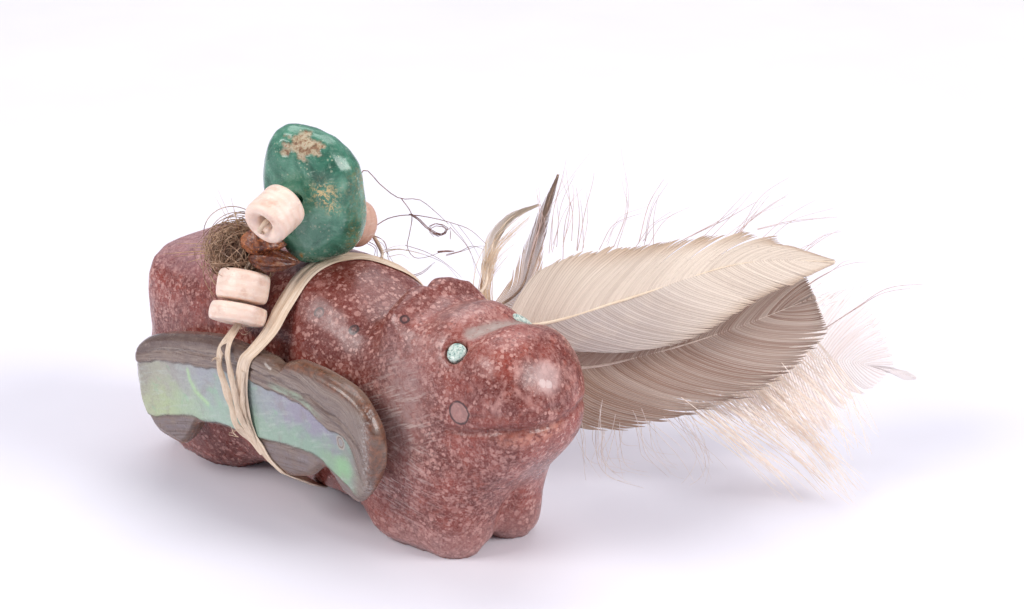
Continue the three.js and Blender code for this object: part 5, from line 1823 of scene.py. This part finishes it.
def loose_down() -> list[Down]:
    """The loose barbs round the feathers, the curled hairs behind the nugget and the frayed sinew."""
    above = (
        Wisp(((14.9, 27.0, 36.1), (13.7, 29.0, 41.8), (13.6, 32.3, 47.8)), 6, (1.2, 1.4), 0.06),
        Wisp(((15.5, 28.0, 36.8), (15.0, 29.9, 41.1), (12.9, 30.7, 46.1)), 4, (1.0, 1.6), 0.055),
        Wisp(((17.8, 30.1, 36.7), (17.0, 31.8, 41.1), (15.2, 33.6, 47.5)), 4, (0.8, 0.8), 0.065),
        Wisp(((13.0, 24.0, 34.0), (12.1, 27.1, 41.1), (10.3, 28.0, 45.8)), 4, (0.8, 1.2), 0.065),
        Wisp(((22.8, 33.6, 36.7), (22.5, 35.9, 41.4), (19.5, 37.4, 49.2)), 3, (0.5, 0.6), 0.065),
        Wisp(((25.5, 36.3, 37.0), (24.7, 38.9, 42.8), (25.4, 42.3, 47.8)), 4, (0.7, 1.0), 0.065),
        Wisp(((20.5, 31.5, 37.0), (21.0, 33.7, 40.0), (23.7, 37.1, 41.4)), 3, (0.8, 1.2), 0.055),
        Wisp(((24.9, 35.8, 37.0), (26.2, 38.9, 40.4), (29.2, 42.4, 41.6)), 3, (0.8, 1.2), 0.055),
        Wisp(((32.7, 40.8, 37.7), (35.1, 44.9, 41.1), (38.2, 50.5, 45.6)), 6, (1.2, 1.6), 0.06),
        Wisp(((35.8, 44.2, 38.6), (37.0, 47.7, 42.8), (40.0, 53.0, 47.0)), 5, (1.0, 1.6), 0.06),
        Wisp(((39.1, 47.4, 38.6), (41.6, 51.3, 41.1), (47.5, 58.3, 43.5)), 4, (1.0, 1.4), 0.055),
        Wisp(((43.2, 49.6, 35.4), (45.6, 53.7, 38.6), (48.1, 57.2, 40.5)), 4, (0.8, 1.4), 0.055),
        Wisp(
            ((43.5, 50.4, 30.5), (47.0, 52.9, 33.8), (49.2, 55.4, 35.4), (54.0, 59.9, 35.3)),
            2, (0.4, 0.6), 0.055,
        ),
        Wisp(
            ((47.5, 53.4, 24.5), (51.8, 55.4, 28.6), (54.3, 57.9, 31.1), (60.7, 64.6, 32.2)),
            2, (0.4, 0.6), 0.065,
        ),
    )
    below = (
        Wisp(((23.7, 25.1, 12.9), (25.7, 24.2, 6.9), (27.8, 24.6, 3.1)), 7, (1.2, 1.5), 0.05, 0.7),
        Wisp(((26.7, 27.6, 12.2), (29.0, 27.0, 5.2), (33.5, 30.5, 3.8)), 6, (1.2, 1.5), 0.05, 0.8),
        Wisp(((30.0, 30.8, 12.2), (32.9, 31.1, 5.9), (37.8, 33.9, 2.3)), 8, (1.4, 1.6), 0.05, 0.6),
        Wisp(((31.5, 32.6, 12.9), (36.3, 35.3, 7.3), (40.5, 36.5, 2.3)), 7, (1.2, 1.8), 0.05, 0.5),
        Wisp(((25.6, 26.5, 12.2), (28.0, 25.3, 3.8), (32.5, 28.2, 1.2)), 6, (1.4, 1.4), 0.05, 0.9),
        Wisp(((34.4, 35.1, 12.2), (38.4, 36.5, 5.9), (38.9, 34.8, 2.1)), 7, (1.0, 1.8), 0.05, 0.7),
    )
    barbs = (
        Wisp(((41.7, 50.3, 18.4), (53.6, 49.0, 13.4), (57.3, 49.7, 8.1)), 30, (2.4, 1.2), 0.075, 0.2),
        Wisp(((39.3, 47.3, 17.4), (51.2, 46.3, 12.7), (56.1, 48.5, 8.1)), 22, (2.0, 1.1), 0.075, 0.2),
        Wisp(((43.3, 53.0, 21.1), (54.6, 51.2, 15.5), (58.4, 51.6, 9.8)), 18, (1.8, 1.1), 0.075, 0.2),
        Wisp(((35.7, 40.4, 14.4), (49.5, 43.4, 8.0), (57.4, 46.7, 0.9)), 26, (1.6, 0.9), 0.08, 0.2),
        Wisp(((38.4, 43.7, 15.8), (51.5, 46.2, 9.5), (59.5, 49.7, 2.1)), 24, (1.4, 1.0), 0.075, 0.2),
        Wisp(((40.4, 46.1, 16.5), (52.8, 46.6, 8.0), (58.6, 48.2, 1.2)), 24, (1.4, 1.0), 0.075, 0.2),
        Wisp(((34.8, 38.7, 13.0), (46.4, 40.0, 7.3), (52.3, 42.7, 2.1)), 20, (1.4, 1.2), 0.07, 0.3),
        Wisp(((33.8, 37.5, 12.6), (43.4, 37.6, 8.0), (50.6, 41.1, 2.1)), 8, (1.0, 1.2), 0.07, 0.3),
    )
    curls = (
        Wisp(
            (
                (-5.0, 4.9, 41.3), (-7.0, 6.0, 45.0), (-6.2, 7.8, 48.8), (-3.9, 8.8, 46.7),
                (-1.3, 10.3, 44.8), (0.8, 12.3, 44.6), (2.8, 13.3, 43.2), (5.1, 14.4, 41.1),
            ),
            thickness=0.10, curl=0.1,
        ),
        Wisp(
            (
                (-3.3, 5.3, 40.1), (-2.1, 8.5, 41.8), (0.1, 10.9, 42.3), (2.3, 12.8, 42.0),
                (5.1, 15.0, 41.2), (7.2, 16.6, 40.3), (9.6, 17.7, 38.3),
            ),
            thickness=0.095, curl=0.1,
        ),
        Wisp(
            (
                (-1.5, 10.7, 44.7), (0.4, 11.1, 42.3), (0.9, 10.1, 39.6), (1.2, 9.3, 37.7),
                (2.2, 9.7, 36.4), (3.3, 11.1, 36.4), (4.6, 12.6, 37.0),
            ),
            thickness=0.10, curl=0.1,
        ),
        Wisp(
            (
                (0.3, 11.0, 42.3), (1.5, 11.5, 41.7), (2.9, 12.2, 40.4), (4.9, 13.7, 39.7),
                (5.1, 14.2, 40.3), (3.5, 13.2, 41.1), (3.0, 12.4, 40.6), (4.6, 13.2, 39.4),
                (5.3, 14.6, 40.6), (6.1, 14.0, 38.2),
            ),
            3, (0.15, 0.25), 0.085, 0.1,
        ),
        Wisp(
            ((-3.3, 5.2, 38.8), (-2.4, 6.4, 37.5), (-2.1, 6.0, 36.4), (-0.1, 7.0, 34.7)),
            2, (0.2, 0.4), 0.05, 0.2,
        ),
        Wisp(
            ((1.6, 7.7, 33.4), (3.5, 10.0, 34.0), (4.8, 12.3, 35.9), (5.4, 13.2, 36.5)),
            2, (0.2, 0.3), 0.06, 0.1,
        ),
        Wisp(
            ((0.7, 9.3, 37.9), (3.3, 11.2, 36.9), (5.7, 12.8, 35.5), (8.4, 13.8, 32.8)),
            2, (0.3, 0.3), 0.05, 0.2,
        ),
        Wisp(
            (
                (5.2, 13.6, 36.6), (6.5, 15.2, 37.0), (8.1, 17.1, 37.7), (9.8, 18.3, 37.0),
                (10.5, 18.2, 35.4),
            ),
            2, (0.3, 0.3), 0.05, 0.2,
        ),
        Wisp(
            ((5.3, 14.8, 40.7), (8.0, 15.8, 37.7), (10.0, 15.8, 34.3), (11.1, 15.8, 32.3)),
            3, (0.5, 0.5), 0.045, 0.3,
        ),
        Wisp(
            ((-3.6, 5.0, 40.0), (-1.6, 7.6, 38.6), (-0.9, 7.7, 36.3), (0.7, 7.7, 33.8)),
            3, (0.4, 0.4), 0.045, 0.3,
        ),
        Wisp(((4.5, 12.5, 37.0), (5.4, 13.4, 37.1), (6.3, 14.4, 37.0)), 2, (0.0, 0.1), 0.16, 0.0),
    )
    tufts = (
        Wisp(((9.2, 17.0, 27.9), (8.0, 19.7, 34.3), (10.8, 26.2, 41.1)), 12, (0.6, 0.6), 0.06, 0.2),
        Wisp(((9.5, 17.0, 27.6), (8.4, 20.4, 34.9), (10.2, 25.1, 40.0)), 10, (0.7, 1.0), 0.055, 0.3),
        Wisp(((10.0, 17.4, 27.2), (8.6, 19.7, 33.2), (9.1, 22.5, 37.4)), 12, (0.8, 1.2), 0.05, 0.4),
    )
    frays = (
        Wisp(((-6.4, -19.5, 13.6), (-6.9, -19.9, 13.9), (-7.6, -20.2, 14.6)), 5, (0.3, 0.5), 0.05, 0.2),
        Wisp(((-10.6, -18.6, 24.0), (-11.4, -18.9, 24.2), (-12.0, -18.9, 23.4)), 4, (0.3, 0.4), 0.05, 0.2),
        Wisp(((-9.4, -15.4, 29.6), (-8.4, -15.8, 29.0), (-7.6, -15.4, 29.8)), 5, (0.3, 0.5), 0.045, 0.2),
        Wisp(((0.6, 5.6, 38.0), (2.2, 6.8, 38.2), (4.0, 8.2, 37.2)), 5, (0.4, 0.6), 0.05, 0.2),
    )
    return [
        Down(
            "down_above", "pale_feather", Hair("down_rosy", (186, 154, 144), (222, 196, 188), 0.6), above,
            21,
        ),
        Down(
            "down_below", "pale_feather", Hair("down_grey", (212, 196, 188), (240, 228, 222), 0.6), below,
            22,
        ),
        Down(
            "loose_barbs", "cream_feather", Hair("barb_apricot", (243, 222, 205), (252, 242, 231), 0.6),
            barbs, 23,
        ),
        Down("curled_hairs", "hair", Hair("hair_russet", (112, 74, 64), (164, 124, 112), 0.45), curls, 24),
        Down(
            "cream_tufts", "cream_feather", Hair("tuft_cream", (222, 192, 160), (244, 224, 198), 0.55),
            tufts, 25,
        ),
        Down("sinew_frays", "sinew", Hair("sinew_ends", (196, 166, 136), (230, 206, 180), 0.5), frays, 26),
    ]


TOWARDS = Vector((0.695, -0.719, 0.0))
LIT_SPOT = Vector((-0.005, -0.005, 0.02))
CAMERA_PLACE = Vector((0.28047, -0.28904, 0.18857))
CAMERA_AIM = Vector((-0.00936, 0.01109, 0.020))
ROOM_COLOUR, ROOM_STRENGTH = (0.86, 0.87, 1.0, 1.0), 0.42
LENS, SENSOR = 98.1, 36.0
NEAREST, FARTHEST = 0.01, 20.0
LAMPS = (
    ("key_left", (-0.62, 0.30, 0.55), 0.42, 4.6, (1.0, 0.985, 0.97)),
    ("key_right", (0.66, 0.32, 0.50), 0.42, 5.0, (1.0, 0.985, 0.975)),
    ("top_back", (0.05, -0.45, 0.85), 0.8, 4.6, (1.0, 0.99, 1.0)),
)


def stand(name: str, data: bpy.types.ID, place: Vector, aim: Vector) -> bpy.types.Object:
    """Puts a lamp or a camera at a place and turns it to its aim."""
    holder = bpy.data.objects.new(name, data)
    bpy.context.scene.collection.objects.link(holder)
    holder.location = place
    holder.rotation_euler = (aim - holder.location).to_track_quat("-Z", "Y").to_euler()
    return holder


def studio() -> None:
    """Sets the floor, the lights and the camera."""
    floor = Bench.grid("floor", 8, 8, 6)
    floor.data.materials.append(PaleFloor().material())
    scene = bpy.context.scene
    scene.view_settings.view_transform = "Standard"
    world = bpy.data.worlds.new("room")
    world.use_nodes = True
    world.node_tree.nodes["Background"].inputs["Color"].default_value = ROOM_COLOUR
    world.node_tree.nodes["Background"].inputs["Strength"].default_value = ROOM_STRENGTH
    scene.world = world
    for name, (side, close, up), size, power, colour in LAMPS:
        lamp = bpy.data.lights.new(name, "AREA")
        lamp.shape = "SQUARE"
        lamp.size, lamp.energy, lamp.color = size, power, colour
        stand(name, lamp, Vector(RIGHTWARD) * side + TOWARDS * close + Vector((0, 0, up)), LIT_SPOT)
    view = bpy.data.cameras.new("camera")
    view.lens, view.sensor_width = LENS, SENSOR
    view.clip_start, view.clip_end = NEAREST, FARTHEST
    scene.camera = stand("camera", view, CAMERA_PLACE, CAMERA_AIM)


def feathers() -> list[Feather]:
    """The five feathers, from their quills under the tie to their tips."""
    cream = FeatherVane(
        "cream_vane", (226, 210, 194), (240, 224, 206), (196, 184, 178), (200, 170, 142), (166, 144, 128),
        0.42, 0.5, 0.8,
    )
    brown = FeatherVane(
        "brown_vane", (190, 162, 146), (150, 120, 104), (154, 122, 102), (96, 68, 54), (224, 208, 194), 0.62
    )
    pale = FeatherVane(
        "pale_vane", (252, 243, 239), (252, 246, 245), (250, 236, 226), (252, 244, 241), (238, 216, 207), 0.45
    )
    small_dark = FeatherVane(
        "small_dark_vane", (204, 168, 138), (170, 132, 102), (190, 152, 122), (132, 98, 78),
        (234, 218, 200), 0.5,
    )
    curl = FeatherVane(
        "small_pale_vane", (244, 226, 204), (246, 230, 210), (238, 216, 192), (242, 226, 208),
        (216, 190, 162), 0.4,
    )

    def lying(height: float, *free: Spot) -> Path:
        """The quill along the left flank, drawn in under the tie, followed by its free part."""
        middle = 24.8
        off = height - middle
        tied = ((-4.0 + 0.3 * abs(off), 13.5, 0.45), (1.5, 13.7, 0.5), (7.0, 13.9, 0.8))
        return (*[(x, y, middle + rise * off) for x, y, rise in tied], *free)

    return [
        Feather(
            "cream_feather", "feather_cream", "cream_feather",
            lying(
                25, (12, 15.4, 25.6), (19.2, 20.3, 27.1), (27.4, 28, 30.7), (43.4, 42.8, 37.6),
                (52.1, 49.1, 38),
            ), 0.27,
            ((0, 1.5), (0.1, 7.4), (0.25, 8.9), (0.5, 6.7), (0.78, 3.4), (1, 0.3)),
            ((0, 0.4), (0.1, 1.9), (0.18, 4.2), (0.27, 6.7), (0.38, 8.2), (0.5, 8.6), (0.78, 5.5), (1, 0.3)),
            cream, ((232, 210, 182), (246, 230, 206)), seed=3,
            splits=((1, 0.40, 0.12), (1, 0.50, 0.22), (1, 0.60, 0.30), (-1, 0.72, 0.15)),
            plumes=((1, 0.56, 0.05, 0.16), (1, 0.68, 0.05, -0.14)),
        ),
        Feather(
            "brown_feather", "feather_brown", "brown_feather",
            lying(
                22.2, (12, 15.8, 21), (23.3, 25.9, 19.4), (29.9, 32, 21.5), (41.4, 43.2, 27),
                (47.9, 50.1, 30.9),
            ), 0.28,
            ((0, 0.8), (0.12, 4.5), (0.4, 6.2), (0.8, 5.6), (0.95, 3.2), (1, 0.5)),
            ((0, 0.8), (0.12, 7.4), (0.4, 10.6), (0.72, 9.8), (0.86, 7.0), (0.95, 4.0), (1, 0.5)),
            brown, ((206, 184, 168), (228, 210, 196)), seed=5, ragged=0.03, lead=0.36, blunt=0.3,
            clump=0.4,
        ),
        Feather(
            "pale_feather", "feather_pale", "pale_feather",
            lying(
                19.4, (11, 16.6, 19.2), (24.8, 36.4, 19.5), (37.2, 50.7, 18.4), (50.9, 65.2, 15.2),
                (54.2, 69, 13.5),
            ), 0.36,
            (
                (0, 0.8), (0.2, 6), (0.5, 10.5), (0.7, 11.5), (0.76, 11), (0.84, 6.5), (0.9, 2.5),
                (0.93, 0.4), (0.97, 0.6), (1, 0.2),
            ),
            (
                (0, 0.8), (0.2, 6), (0.5, 10.5), (0.7, 12), (0.76, 11.5), (0.82, 6), (0.88, 3.5),
                (0.92, 0.4), (0.97, 0.9), (1, 0.3),
            ),
            pale, ((240, 226, 220), (250, 242, 238)), seed=9, ragged=0.08, clump=0.5, pitch=0.42, cover=1.1,
            lead=0.24,
        ),
        Feather(
            "dark_curl", "feather_small_dark", "brown_feather",
            lying(
                27.8, (10.5, 16.6, 27.8), (12.4, 22.0, 30.0), (10.8, 27.0, 35.0), (10.3, 30.0, 40.0),
                (9.8, 33.6, 45.5),
            ), 0.38,
            ((0, 1.6), (0.2, 2.2), (0.6, 1.2), (1, 0.15)), ((0, 1.8), (0.2, 2.6), (0.6, 1.3), (1, 0.15)),
            small_dark, ((140, 112, 94), (170, 142, 122)), seed=12, lead=0.5, cover=0.8, ragged=0.06,
        ),
        Feather(
            "pale_curl", "feather_small_pale", "cream_feather",
            lying(
                30.6, (9.6, 16.8, 30.8), (8.2, 20.0, 34.2), (5.8, 24.0, 37.0), (6.3, 26.6, 39.2),
                (9.0, 30.2, 41.2),
            ), 0.42,
            ((0, 0.8), (0.4, 1.3), (0.7, 0.8), (1, 0.15)), ((0, 0.8), (0.4, 1.0), (0.7, 0.6), (1, 0.15)),
            curl, ((226, 202, 176), (242, 222, 200)), seed=15, lead=0.5, cover=0.8, ragged=0.05,
        ),
    ]


def main() -> None:
    """Builds every piece in order and reports it."""
    logging.basicConfig(level=logging.INFO, format="%(message)s")
    studio()
    bear = Bear().build()
    Eyes().build()
    Nugget().build()
    thick = np.array((-9.9, -14.1, 35.0))
    lean = unit(np.array((-0.2, 0.45, 0.87)))
    apart = 4.2
    disc = thick - lean * apart
    Bead("upper", (-4.2, -12.3, 47.5), (0.115, -0.911, -0.35), 3.6, 6.0, 1, hole=1.2, mouth=0.9).build()
    Bead("thick", tuple(thick), tuple(lean), 3.9, 4.5, 2).build()
    Bead("disc", tuple(disc), tuple(lean), 4.3, 2.8, 3).build()
    Bead("far", (-5.1, 3.9, 41.6), (0, 0.92, -0.38), 3.6, 4.4, 4, flushed=True).build()
    strip = Strip().build()
    ground = [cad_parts[name] for name in ("feather_cream", "feather_brown", "feather_pale")]
    Tie().build([bear, strip, *ground])
    Tuft().build()
    SeedHusk().build()
    for feather in feathers():
        feather.build()
    for down in loose_down():
        down.build()


if __name__ == "__main__":
    main()
